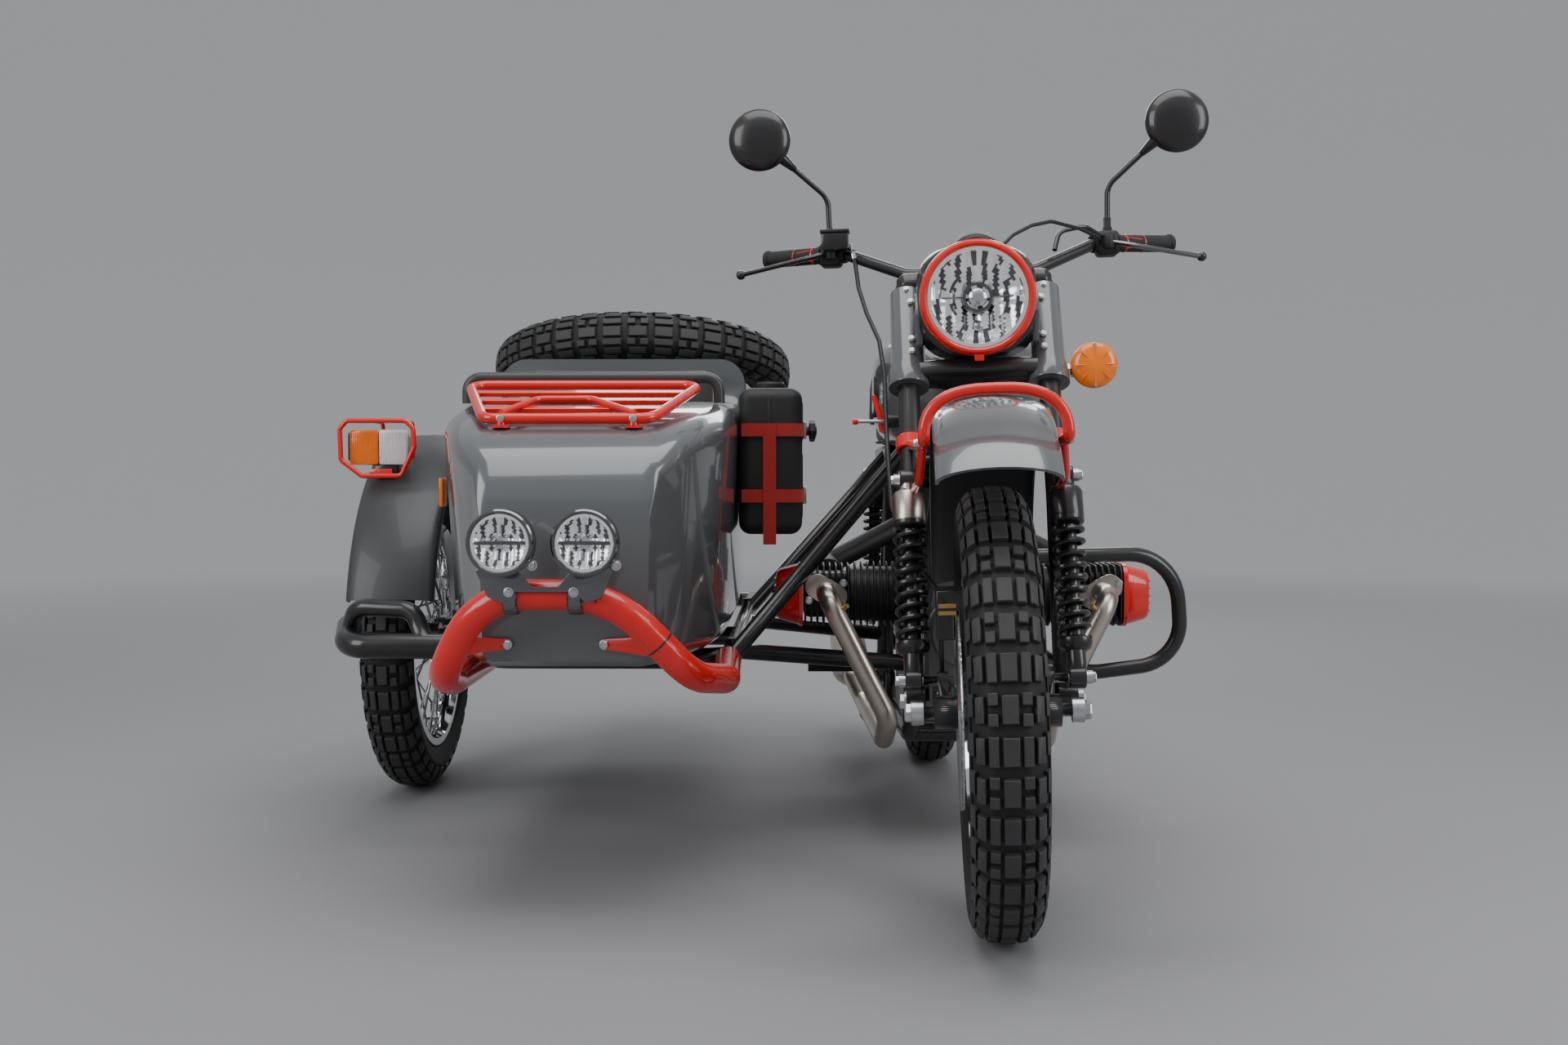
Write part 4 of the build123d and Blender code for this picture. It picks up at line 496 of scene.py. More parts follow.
def bolt_tree():
    """One bolt head on each point, turned to the point's own aim."""
    tree = bpy.data.node_groups.new("bolts", "GeometryNodeTree")
    group_socket(tree, "Geometry", "Geometry")
    group_socket(tree, "Bolt", "Object")
    group_socket(tree, "Finish", "Material")
    group_socket(tree, "Geometry", "Geometry", out=True)
    nodes, links = tree.nodes, tree.links
    given, result = nodes.new("NodeGroupInput"), nodes.new("NodeGroupOutput")
    bolt = nodes.new("GeometryNodeObjectInfo")
    aim = nodes.new("GeometryNodeInputNamedAttribute")
    aim.data_type = "FLOAT_VECTOR"
    aim.inputs["Name"].default_value = "aim"
    size = nodes.new("GeometryNodeInputNamedAttribute")
    size.data_type = "FLOAT"
    size.inputs["Name"].default_value = "size"
    facing = nodes.new("FunctionNodeAlignRotationToVector")
    facing.axis = "Z"
    copies = nodes.new("GeometryNodeInstanceOnPoints")
    real = nodes.new("GeometryNodeRealizeInstances")
    paint = nodes.new("GeometryNodeSetMaterial")
    links.new(given.outputs["Bolt"], bolt.inputs["Object"])
    links.new(aim.outputs["Attribute"], facing.inputs["Vector"])
    links.new(given.outputs["Geometry"], copies.inputs["Points"])
    links.new(bolt.outputs["Geometry"], copies.inputs["Instance"])
    links.new(facing.outputs[0], copies.inputs["Rotation"])
    links.new(size.outputs["Attribute"], copies.inputs["Scale"])
    links.new(copies.outputs[0], real.inputs[0])
    links.new(real.outputs[0], paint.inputs["Geometry"])
    links.new(given.outputs["Finish"], paint.inputs["Material"])
    links.new(paint.outputs[0], result.inputs[0])
    return tree


REPEAT, BOLTS = repeat_tree(), bolt_tree()


def through_tree(mesh, tree, values):
    """The plain mesh that a node tree makes of a mesh."""
    holder = bpy.data.objects.new("work", mesh)
    bpy.context.scene.collection.objects.link(holder)
    modifier = holder.modifiers.new("nodes", "NODES")
    modifier.node_group = tree
    for item in tree.interface.items_tree:
        if item.item_type == "SOCKET" and item.in_out == "INPUT" and item.name in values:
            modifier[item.identifier] = values[item.name]
    graph = bpy.context.evaluated_depsgraph_get()
    graph.update()
    made = bpy.data.meshes.new_from_object(holder.evaluated_get(graph), depsgraph=graph)
    holder.modifiers.remove(modifier)
    bpy.data.objects.remove(holder)
    return made


def repeated(patch, copies, material, step=(0, 0, 0), turn=(0, 0, 0)):
    """Patch of all the copies."""
    mesh = bpy.data.meshes.new("repeat")
    mesh.from_pydata([tuple(point) for point in patch[0]], [], patch[1])
    made = through_tree(mesh, REPEAT, {"Copies": copies, "Step": [float(s) for s in step],
                                       "Turn": [float(t) for t in turn], "Finish": material})
    found = [vert.co.copy() for vert in made.vertices], [list(face.vertices) for face in made.polygons]
    bpy.data.meshes.remove(made)
    bpy.data.meshes.remove(mesh)
    return found


# Pieces

def settle(name, mesh, body, replaces=(), angle=35.0, bevel=0.0):
    """Shade a mesh that is in place, and let it ride on its body."""
    mesh.name = name
    mesh.shade_smooth()
    mesh.set_sharp_from_angle(angle=math.radians(angle))
    shape = bpy.data.objects.new(name, mesh)
    bpy.context.scene.collection.objects.link(shape)
    if bevel:
        edge = shape.modifiers.new("edge", "BEVEL")
        edge.width = bevel * MM
        edge.segments = 2
        edge.limit_method = "ANGLE"
        edge.angle_limit = math.radians(40)
    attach(shape, body)
    if replaces:
        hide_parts(*replaces)
    return shape


def piece(name, shape, body, replaces=(), angle=35.0, place=None):
    """Finish a shape drawn in millimetres and put it in its place on its body."""
    mesh = bpy.data.meshes.new(name)
    mesh.from_pydata([tuple(point) for point in shape.points], [], shape.faces)
    for material in shape.finishes:
        mesh.materials.append(material)
    mesh.polygons.foreach_set("material_index", shape.marks)
    work = bmesh.new()
    work.from_mesh(mesh)
    bmesh.ops.remove_doubles(work, verts=work.verts, dist=0.005)
    bmesh.ops.recalc_face_normals(work, faces=work.faces)
    work.transform(PLACES[body] @ (place or Matrix()))
    work.to_mesh(mesh)
    work.free()
    return settle(name, mesh, body, replaces, angle)


def dressed(node, body, material, bevel=0.0, paint=None):
    """Smooth-shaded copy of a node's own shape; paint picks another finish by a face's middle."""
    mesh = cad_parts[node].data.copy()
    mesh.materials.clear()
    mesh.materials.append(material)
    work = bmesh.new()
    work.from_mesh(mesh)
    bmesh.ops.remove_doubles(work, verts=work.verts, dist=1e-5)
    if paint:
        back = PLACES[body].inverted()
        finishes = [material]
        for face in work.faces:
            wanted = paint(back @ face.calc_center_median()) or material
            if wanted not in finishes:
                finishes.append(wanted)
                mesh.materials.append(wanted)
            face.material_index = finishes.index(wanted)
    else:
        bmesh.ops.dissolve_limit(work, angle_limit=math.radians(1), verts=work.verts, edges=work.edges)
    work.to_mesh(mesh)
    work.free()
    return settle(node + "_look", mesh, body, (node,), bevel=bevel)


def bolts(name, body, heads, material=ZINC):
    """Hexagon bolt heads at (place, aim, radius)."""
    head = bpy.data.meshes.new("bolt_head")
    patch = [turned((0, 0, -1), (0, 0, 1), [(1.25, 0), (1.25, 1.2), (1.0, 1.3)], 20),
             turned((0, 0, 0.2), (0, 0, 1), [(1.0, 0), (1.0, 0.55), (0.86, 0.72), (0, 0.72)], 6)]
    points = [tuple(point) for part in patch for point in part[0]]
    faces = patch[0][1] + [[corner + len(patch[0][0]) for corner in face] for face in patch[1][1]]
    head.from_pydata(points, [], faces)
    holder = bpy.data.objects.new("bolt_head", head)
    places = bpy.data.meshes.new("bolt_places")
    places.from_pydata([tuple(place) for place, _, _ in heads], [], [])
    places.attributes.new("aim", "FLOAT_VECTOR", "POINT").data.foreach_set(
        "vector", [value for _, aim, _ in heads for value in aim])
    places.attributes.new("size", "FLOAT", "POINT").data.foreach_set(
        "value", [size for _, _, size in heads])
    made = through_tree(places, BOLTS, {"Bolt": holder, "Finish": material})
    bpy.data.objects.remove(holder)
    work = bmesh.new()
    work.from_mesh(made)
    bmesh.ops.remove_doubles(work, verts=work.verts, dist=0.002)
    bmesh.ops.recalc_face_normals(work, faces=work.faces)
    work.transform(PLACES[body])
    work.to_mesh(made)
    work.free()
    return settle(name, made, body)


# Wheels and tyres

CROWN = [(0, 340), (14, 339.6), (28, 336.5), (40, 329), (49, 317), (55, 301)]
CARCASS = [(0, 331), (13, 330.6), (26, 328), (36, 321.5), (44, 311), (50, 298)]
PITCHES = 38
PITCH = math.tau / PITCHES


def along_crown(table, share):
    """Point (x, radius) at a share of the crown table, either side of the middle."""
    place = min(abs(share), len(table) - 1.001)
    (x, radius), (far_x, far_radius) = table[int(place)], table[int(place) + 1]
    part = place - int(place)
    return math.copysign(x + (far_x - x) * part, share), radius + (far_radius - radius) * part


def lug(low, high, start, length):
    """Tread block from one share of the crown to another, from an angle on, in pitches."""
    rings = []
    edge, draw = 0.10, 0.0035
    first, last = start * PITCH, (start + length) * PITCH
    for share, sunk in ((low, 1.6), (low + edge, 0), ((low + high) / 2, 0), (high - edge, 0), (high, 1.6)):
        x, top = along_crown(CROWN, share)
        base_x, base = along_crown(CARCASS, share)
        ring = []
        for angle, (px, radius) in ((first, (base_x, base - 1.5)),
                                    (first + draw * 0.4, (x, top - 1.4 - sunk)),
                                    (first + draw * 1.6, (x, top - sunk)),
                                    (last - draw * 1.6, (x, top - sunk)),
                                    (last - draw * 0.4, (x, top - 1.4 - sunk)),
                                    (last, (base_x, base - 1.5))):
            ring.append(Vector((px, radius * math.sin(angle), radius * math.cos(angle))))
        rings.append(ring)
    return stitched(rings)


def tyre_shape():
    """Block-treaded tyre about the x axis; its blocks take a lighter copy of the rubber, as painted light
    against the darker grooves.
    """
    side = [(38, 243), (39.6, 246), (40, 256), (47, 262), (51.5, 276), (53.5, 288), (54.4, 290), (54, 296)]
    half = side + [(52, 299)] + CARCASS[::-1]
    outline = half + [(-x, radius) for x, radius in reversed(half[:-1])]
    shape = Shape()
    shape.add(turned((0, 0, 0), (1, 0, 0), [(radius, x) for x, radius in outline], 96, closed=True),
              TYRE_RUBBER)
    rows = [(-0.78, 0.78, 0.12, 0.70), (-0.78, 0.78, 1.12, 0.70)]
    for side_of in (-1, 1):
        for low, high, start, length in ((1.16, 2.12, 0.10, 0.74), (1.16, 2.12, 1.06, 0.32),
                                         (1.16, 2.12, 1.56, 0.32),
                                         (2.50, 3.62, 0.14, 0.66), (2.50, 3.62, 1.14, 0.66),
                                         (3.86, 4.80, 0.30, 0.60), (3.86, 4.80, 1.30, 0.60)):
            rows.append((low, high, start, length) if side_of > 0 else (-high, -low, start, length))
    # tread blocks in the lighter rubber, painted light
    for low, high, start, length in rows:
        shape.add(repeated(lug(low, high, start, length), PITCHES // 2, LUG_RUBBER_PAINTED_LIGHT,
                           turn=(-2 * PITCH, 0, 0)), LUG_RUBBER_PAINTED_LIGHT)
    return shape


def add_tyres():
    shape = tyre_shape()
    for node, body, centre in (("front_tyre", "front_wheel", FRONT_AXLE),
                               ("rear_tyre", "rear_wheel", REAR_AXLE),
                               ("sidecar_tyre", "sidecar_wheel", SIDECAR_AXLE)):
        piece(node + "_tread", shape, body, (node,), place=Matrix.Translation(centre))
    tilt = Vector((1, 0, 0)).rotation_difference(SPARE_AXIS)
    lie = Matrix.Translation(SPARE_CENTRE) @ tilt.to_matrix().to_4x4()
    piece("spare_tyre_tread", shape, "trunk", ("spare_tyre",), place=lie)


def wheel_paint(centre, disc, drum):
    def pick(point):
        offset = point - centre
        radius = math.hypot(offset.y, offset.z)
        if radius > 224:
            return CHROME
        if disc and abs(offset.x + 57) < 4 and radius > 40:
            return BRIGHT_STEEL
        if drum and -60 < offset.x < -34 and 35 < radius < 98:
            return BLACK_PAINT
        return None
    return pick


# Steering

def on_head(x, back, up):
    """Point by the steering head: left, back and up along the axis from the head tube's middle."""
    return HEAD_MIDDLE + Vector((x, 0, 0)) + STEER_BACK * back + STEER_AXIS * up


def fluted_dish(centre, radius, depth, flutes, rings=9, sides=96):
    """Reflector bowl behind a lamp's face, pressed in upright flutes, its faces split in a fixed pattern
    into bright ones and ones that take a painted dark reflection.
    """
    rows = []
    for row in range(rings + 1):
        share = 1 - row / rings
        ring = []
        for k in range(sides):
            angle = k * math.tau / sides
            x, z = radius * share * math.cos(angle), radius * share * math.sin(angle)
            ripple = abs(math.sin(x / radius * flutes * math.pi / 2)) * 2.6 * min(1, share * 3)
            step = 3.0 if abs(z) < radius * 0.12 else 0.0
            ring.append(Vector(centre) + Vector((x, depth * (1 - share ** 2) - ripple - step * share, z)))
        rows.append(ring)
    points, faces = stitched(rows, ends=False)
    # flutes picked by a fixed band pattern get the painted dark reflection, the rest stay bright
    bright_faces, painted_dark_faces = [], []
    for face in faces:
        middle = sum((points[corner] for corner in face), Vector()) / len(face)
        band = int((middle.x - centre[0] + radius) / radius * flutes)
        level = int((middle.z - centre[2] + radius) / radius * 3)
        (painted_dark_faces if (band * 7 + level * 4) % 5 < 2 else bright_faces).append(face)
    return (points, bright_faces), (points, painted_dark_faces)


def headlamp():
    face, far = HEADLAMP_FACE, HEADLAMP_BACK
    shell = Shape()
    back = [(91.5 * math.cos(math.radians(a)), 59 + 48 * math.sin(math.radians(a)))
            for a in range(0, 91, 10)]
    shell.add(turned(face, far, [(0, 26), (90.5, 25.6), (91.5, 27)] + back[:-1] + [(0, 107)], 64),
              BLACK_PAINT)
    rings = []
    for y, half, tall, corner, middle in ((-1173, 91, 91, 90, 989), (-1166, 97, 94, 78, 987),
                                          (-1140, 101, 95, 60, 985),
                                          (-1122, 99, 92, 56, 985), (-1116, 92, 85, 50, 985)):
        rings.append(rounded_ring(Vector((0, y, middle)), Vector((1, 0, 0)), Vector((0, 0, 1)), half, tall,
                                  corner, 8))
    shell.add(stitched(rings), BLACK_PAINT)
    gauge = (0, -1176, 1046)
    shell.add(turned(gauge, (0, -1106, 1066), [(0, 2), (44, 2), (49, 8), (49, 58), (47, 66), (44, 66),
                                               (44, 60), (0, 60)], 48), MATT_BLACK)
    shell.add(turned(gauge, (0, -1106, 1066), [(0, 60.4), (43.5, 60.4), (43.5, 61.5), (0, 61.5)], 40),
              DIAL_FACE)
    piece("headlamp_shell_look", shell, "steering", ("headlamp_shell",))
    rim = Shape()
    rim.add(turned(face, far, [(83.8, 24.5), (83.8, 6), (85, 1), (88, -1.5), (92, -1), (95.5, 3),
                               (97.4, 10), (97.4, 24.5)], 72, closed=True), RED_PAINT)
    rim.add(box((-8, -1197, 883), (8, -1185, 896), 2), RED_PAINT)
    piece("headlamp_rim_look", rim, "steering", ("headlamp_rim",))
    lamp = Shape()
    lamp.add(turned(face, far, [(76.5, 6), (77.5, 1.5), (83.4, 0.8), (83.4, 20), (76.5, 20)], 64,
                    closed=True), REFLECTOR_PAINTED_GLOW)
    # bright flutes with the painted glow, and flutes with painted dark reflections
    for patch, material in zip(fluted_dish((0, -1193, 989), 80, 17, 9, 15), (REFLECTOR_PAINTED_GLOW, FLUTE_PAINTED_DARK)):
        lamp.add(patch, material)
    lamp.add(turned((0, -1196, 989), far, [(0, 0), (11, 1), (15, 4), (16.5, 9), (16.5, 20)], 32), CHROME)
    lamp.add(turned((0, -1193.5, 989), far, [(20, 0), (25, 0), (26, 6), (20, 6)], 40, closed=True),
             DARK_CHROME)
    lamp.add(turned((0, -1194, 937), far, [(0, 0), (5, 1), (8, 4), (8, 16)], 24), BRIGHT_STEEL)
    lamp.add(box((-79, -1190, 988), (-24, -1187, 991), 0.6, 1), DARK_CHROME)
    lamp.add(box((24, -1190, 988), (79, -1187, 991), 0.6, 1), DARK_CHROME)
    lamp.add(turned(face, far, [(0, -6.5), (30, -5.8), (55, -3.4), (72, -0.6), (83.4, 4), (83.4, 6),
                                (72, 1.4), (55, -1.4), (30, -3.8), (0, -4.5)], 64), CLEAR_GLASS)
    piece("headlamp_lens_look", lamp, "steering", ("headlamp_lens",))


def turn_signal():
    x, y, z = TURN_SIGNAL
    lamp = Shape()
    face, back = (x, y - 24, z), (x, y + 22, z)
    lamp.add(turned(face, back, [(0, 1), (12, 1.4), (26, 4), (35, 8), (38.6, 13), (39, 22), (36, 24),
                                 (0, 24)], 48),
             AMBER_LENS)
    lamp.add(turned(face, back, [(0, 23), (37.5, 23), (38.4, 27), (33, 40), (20, 46), (0, 46)], 48),
             AMBER_LENS)
    ray = box((-1.2, -1.2, 9), (1.2, 2.6, 33), 0.8, 1)
    lamp.add(moved(repeated(ray, 8, AMBER_LENS, turn=(0, math.tau / 8, 0)),
                   Matrix.Translation((x, y - 21, z))), AMBER_LENS)
    for rise in (-1, 1):
        lamp.add(turned((x, y - 20, z + rise * 34), (x, y, z + rise * 34),
                        [(0, 0), (3, 0.5), (3.6, 3), (3.6, 12)], 12), ZINC)
    lamp.add(turned((152, y + 12, z - 7), (x, y + 12, z - 7), [(7, 0), (7, 42)], 20), BLACK_PAINT)
    for start in (149, 157):
        lamp.add(turned((start, y + 12, z - 7), (start + 1, y + 12, z - 7),
                        [(11, 0), (12, 1), (12, 5), (11, 6)], 6), ZINC)
    piece("turn_signal_look", lamp, "steering", ("turn_signal",))


def two_sided(shape, patch, paint):
    """Fender sheet with its inner side black, as painted shade under the sheet."""
    points, faces = patch
    inner = [face for number, face in enumerate(faces[:-2]) if 14 <= number % 32 <= 29]
    shape.add((points, [face for face in faces if face not in inner]), paint)
    # inner faces in matt black: painted shade under the fender
    shape.add((points, inner), MATT_BLACK)


def front_fender():
    shape = Shape()
    two_sided(shape, arch(FENDER_AXIS, 413, 176, 15, 132, 26, 26), GREY_PAINT)
    for side in (-1, 1):
        shape.add(turned((side * 86, -1213, 722), (side * 100, -1213, 722), [(7, 0), (7, 14)], 16),
                  BLACK_PAINT)
    piece("front_fender_look", shape, "steering", ("front_fender",))
    guard = Shape()
    side_run = [(118, -1221, 748), (101, -1440, 741), (101, -1616, 746)]
    crest = []
    for degrees in range(0, 181, 9):
        run, rise = math.cos(math.radians(degrees)), math.sin(math.radians(degrees))
        crest.append((101 * math.copysign(abs(run) ** 0.72, run), -1638, 750 + 69 * rise ** 0.8))
    route = side_run + crest + [(-x, y, z) for x, y, z in reversed(side_run)]
    guard.add(tube(route, 8.5, 14), RED_PAINT)
    for side in (-1, 1):
        guard.add(tube([(side * 101, -1560, 750), (side * 108, -1500, 690), (side * 116, -1262, 668)], 6.5,
                       40), RED_PAINT)
        clamp = Vector((side * 118, -1199, 748))
        guard.add(turned(clamp - STEER_AXIS * 12, clamp + STEER_AXIS * 12,
                         [(18.9, 0), (23, 0), (24.5, 2), (24.5, 22), (23, 24), (18.9, 24)], 32,
                         closed=True), RED_PAINT)
    piece("front_fender_guard_look", guard, "steering", ("front_fender_guard",))


def fork_look():
    """Fork legs, slim clamps that end inside the shrouds, shock plates and pivot bosses."""
    shape = Shape()
    for side in (-1, 1):
        x = side * LEG_X
        shape.add(tube([(x, -1059.3, 1022), (x, -1246.3, 655), (x, *LINK_PIVOT)], 18.5, 160, 28),
                  BLACK_PAINT)
        shape.add(plate([(-1228, 666), (-1234, 714), (-1320, 702), (-1320, 676)],
                        (side * 106.5 - 3.5, 0, 0), (0, 1, 0), (0, 0, 1), 7, 1.5), BLACK_PAINT)
        for (y, z), low, high, radius, material in ((FRONT_SHOCK[1], 103, 145, 7.6, BRIGHT_STEEL),
                                                    (LINK_PIVOT, 106, 137, 24, BLACK_PAINT)):
            shape.add(turned((side * low, y, z), (side * high, y, z),
                             [(0, 0), (radius - 1, 0), (radius, 1), (radius, high - low - 1),
                              (radius - 1, high - low), (0, high - low)], 28), material)
    shape.add(turned(on_head(0, 0, -103), on_head(0, 0, 103), [(0, 0), (15, 0), (15, 206), (0, 206)], 24),
              BLACK_PAINT)
    right = [(60, -76), (126, -68), (136, -50), (132, -30), (112, -20), (60, -14), (28, 22)]
    clamp = right + [(-x, back) for x, back in reversed(right)]
    for level in (-103, 75):
        shape.add(plate(clamp, on_head(0, 0, level), (1, 0, 0), STEER_BACK, 28, 7, 3), BLACK_PAINT)
    piece("fork_look", shape, "steering", ("fork",))


def shrouds():
    shape = Shape()
    back = LEG_BACK
    for side in (-1, 1):
        low, high = on_head(side * LEG_X, back, -114), on_head(side * LEG_X, back, 73)
        shape.add(turned(low, high, [(19, 0), (34.5, 0), (35, 4), (33, 30), (29.5, 44), (28.5, 184),
                                     (27.5, 187), (19, 187)], 40, closed=True), GREY_PAINT)
        outline = [(back, -52), (back - 30, -48), (back - 64, -8), (back - 64, 34), (back - 30, 58),
                   (back, 62)]
        shape.add(plate(outline, on_head(side * (92 if side > 0 else 104), 0, 0), STEER_BACK, STEER_AXIS,
                        12, 2.5), GREY_PAINT)
    piece("fork_shrouds_look", shape, "steering", ("fork_shrouds",))


def spring_unit(shape, x, bottom, top, upper, lower=BLACK_PAINT):
    """Coil spring over its damper, with a cover over its upper end and eyes at both."""
    foot, head = Vector((x, *bottom)), Vector((x, *top))
    axis, length = (head - foot).normalized(), (head - foot).length
    across = Vector((1, 0, 0))
    square = axis.cross(across)
    low, high, turns = 62, length - 82, 9.5
    coil = []
    for step in range(201):
        angle = step * turns * math.tau / 200
        coil.append(foot + axis * (low + (high - low) * step / 200)
                    + (across * math.cos(angle) + square * math.sin(angle)) * 22.5)
    shape.add(tube(coil, 4.4, 0, 8), lower)
    shape.add(turned(foot, head,
                     [(0, 10), (13, 10), (15, 14), (15, 40), (22, 44), (26, 50), (26.5, 58), (22, 62),
                      (13, 63), (13, high - 4), (24, high), (26.5, high + 3), (26.5, high + 9)], 32), lower)
    shape.add(turned(foot, head,
                     [(13, high + 8), (26, high + 9), (26.6, high + 12), (26.6, length - 30),
                      (24, length - 24), (15, length - 18), (15, length - 10), (0, length - 10)], 36), upper)
    for eye in (foot, head):
        shape.add(turned(eye - across * 13, eye + across * 13,
                         [(8, 0), (15, 0), (17, 2), (17, 24), (15, 26), (8, 26)],
                         28, closed=True), lower)
        shape.add(turned(eye - across * 14, eye + across * 14, [(0, 0), (7.6, 0), (7.6, 28), (0, 28)], 16),
                  BRIGHT_STEEL)


def add_shocks():
    front = Shape()
    spring_unit(front, -124, *FRONT_SHOCK, NICKEL)
    spring_unit(front, 124, *FRONT_SHOCK, BLACK_PAINT)
    piece("front_shocks_look", front, "steering", ("front_shocks",))
    rear = Shape()
    for x in (-134, 134):
        spring_unit(rear, x, *REAR_SHOCK, BLACK_PAINT)
    piece("rear_shocks_look", rear, "vehicle", ("rear_shocks",))
    side = Shape()
    spring_unit(side, -994, *SIDECAR_SHOCK, BLACK_PAINT)
    piece("sidecar_shock_look", side, "vehicle", ("sidecar_shock",))


def on_bar(side, distance):
    """Point on the grip's axis, at a distance in from the bar's end."""
    point = GRIP_END + BAR_INWARD * distance
    return Vector((side * point.x, point.y, point.z))


def bar_controls():
    shape = Shape()
    for side in (-1, 1):
        outline = [(0, -4), (16, -4), (17.5, -2), (17.5, 4), (15.2, 6)]
        outline += [(15.2 + 0.8 * (step % 2), 8 + step * 3.2) for step in range(32)]
        outline += [(15.2, 112), (18.5, 113), (18.5, 118), (11.5, 118)]
        shape.add(turned(on_bar(side, 0), on_bar(side, 100), outline, 32), GRIP_RUBBER)
        for start, stop in ((98, 101), (60, 62)):
            shape.add(turned(on_bar(side, 0), on_bar(side, 100),
                             [(15.9, start), (16.6, start + 0.5), (16.6, stop - 0.5), (15.9, stop)],
                             32, closed=True), RED_PAINT)
        for lift in (-0.35, 0.35):
            line = [on_bar(side, 62) + Vector((0, -16.4 * math.cos(lift), 16.4 * math.sin(lift))),
                    on_bar(side, 99) + Vector((0, -16.4 * math.cos(lift * 2), 16.4 * math.sin(lift * 2)))]
            shape.add(tube(line, 1.3, 0, 6), RED_PAINT)
        perch = on_bar(side, 136)
        shape.add(box(perch - Vector((21, 25, 24)), perch + Vector((21, 25, 22)), 9, 3), MATT_BLACK)
        shape.add(box(perch + Vector((-11, 18, -14)), perch + Vector((11, 30, 14)), 4), MATT_BLACK)
        shape.add(turned(on_bar(side, 151), on_bar(side, 175),
                         [(11.5, 0), (17, 0), (18, 2), (18, 14), (17, 16), (11.5, 16)],
                         24, closed=True), MATT_BLACK)
        pivot = perch + Vector((0, -30, 0))
        knuckle = on_bar(side, 92) + Vector((0, -58, -10))
        tip = Vector((side * 425, -872, 1078))
        oval = [(6.5 * math.cos(k * math.tau / 12), 4.6 * math.sin(k * math.tau / 12)) for k in range(12)]
        shape.add(tube([pivot, knuckle, tip], 6, 46, section=oval, up=(0, 0, 1)),
                  BLACK_PAINT if side < 0 else DARK_CHROME)
        ball = [(9 * math.sin(k * math.pi / 10), 9 - 9 * math.cos(k * math.pi / 10)) for k in range(11)]
        ball[0], ball[-1] = (0, 0), (0, 18)
        shape.add(turned(tip - Vector((side * 9, 0, 0)), tip, ball, 20), BLACK_PAINT)
        shape.add(turned(pivot + Vector((0, -2, -12)), pivot + Vector((0, -2, 12)),
                         [(0, 0), (9, 0), (10, 2), (10, 22), (9, 24), (0, 24)], 20), MATT_BLACK)
        if side < 0:
            shape.add(box(perch + Vector((-16, -62, 2)), perch + Vector((34, -26, 34)), 5), BLACK_PAINT)
            shape.add(box(perch + Vector((-18, -64, 33)), perch + Vector((36, -24, 39)), 2), MATT_BLACK)
        else:
            shape.add(tube([on_bar(1, 150) + Vector((0, -24, 10)), on_bar(1, 176) + Vector((-10, -44, 26)),
                            on_bar(1, 200) + Vector((-36, -52, 16)), (150, -960, 1090)], 4.5, 26, 12),
                      BLACK_PAINT)
    piece("hand_controls_look", shape, "steering", ("hand_controls",))
    lines = Shape()
    hose = [(-216, -900, 1118), (-209, -908, 1084), (-204, -930, 1040), (-190, -962, 990),
            (-168, -1002, 936), (-160, -1060, 872), (-159, -1130, 806), (-157, -1204, 742),
            (-152, -1262, 648), (-134, -1300, 590), (-112, -1304, 552), (-90, -1308, 522),
            (-76, -1322, 506), (-72, -1354, 500)]
    lines.add(tube(hose, 4, 34, 10), HOSE_RUBBER)
    cable = [(236, -905, 1116), (196, -950, 1128), (142, -1000, 1136), (104, -1030, 1126),
             (70, -1050, 1108), (42, -1076, 1080)]
    lines.add(tube(cable, 3.5, 34, 10), HOSE_RUBBER)
    for start, end in ((hose[0], hose[1]), (hose[-1], hose[-2])):
        lines.add(turned(start, end, [(0, -4), (6.5, -4), (7, 2), (7, 8), (5, 10), (5, 24), (0, 24)], 12),
                  CHROME)
    piece("brake_hose_and_cable", lines, "steering")


def mirrors():
    shape = Shape()
    for side in (-1, 1):
        base = on_bar(side, 134) + Vector((0, 0, 19.6))
        centre = Vector((side * 378, -925, 1318))
        shape.add(tube([base, (side * (abs(base.x) + 2), base.y, 1216), centre + Vector((0, -4, 0))], 5.2,
                       34), BLACK_PAINT)
        shape.add(turned(base, base + Vector((0, 0, 30)),
                         [(0, -1), (9, -1), (9, 8), (7, 12), (7, 26), (5.4, 30), (0, 30)], 6), BLACK_PAINT)
        face = centre + Vector((0, 11.5, 0))
        shape.add(turned(face, centre, [(0, 4), (52, 3), (54, 0), (56.5, 1), (57, 4), (56, 9), (50, 15),
                                        (38, 20), (20, 23.4), (0, 24.4)], 56), BLACK_PAINT)
        shape.add(turned(face, centre, [(0, 2.6), (52.6, 2.6), (52.6, 4.5), (0, 4.5)], 48), MIRROR_GLASS)
        elbow = Vector((side * (abs(base.x) + 2), base.y, 1216))
        inward = (elbow - centre).normalized()
        shape.add(turned(centre + inward * 30 + Vector((0, -10, 0)), elbow,
                         [(0, 0), (9, 2), (12, 10), (11, 26), (6.5, 56), (5.4, 60), (0, 60)], 20),
                  BLACK_PAINT)
    piece("mirrors_look", shape, "steering", ("mirrors",))


def caliper_pads():
    shape = Shape()
    for z in (484, 495):
        shape.add(box((-84, -1447, z), (-57, -1440, z + 7), 1, 1), BRASS_PAD)
    piece("caliper_pads", shape, "steering")


# Engine and exhaust

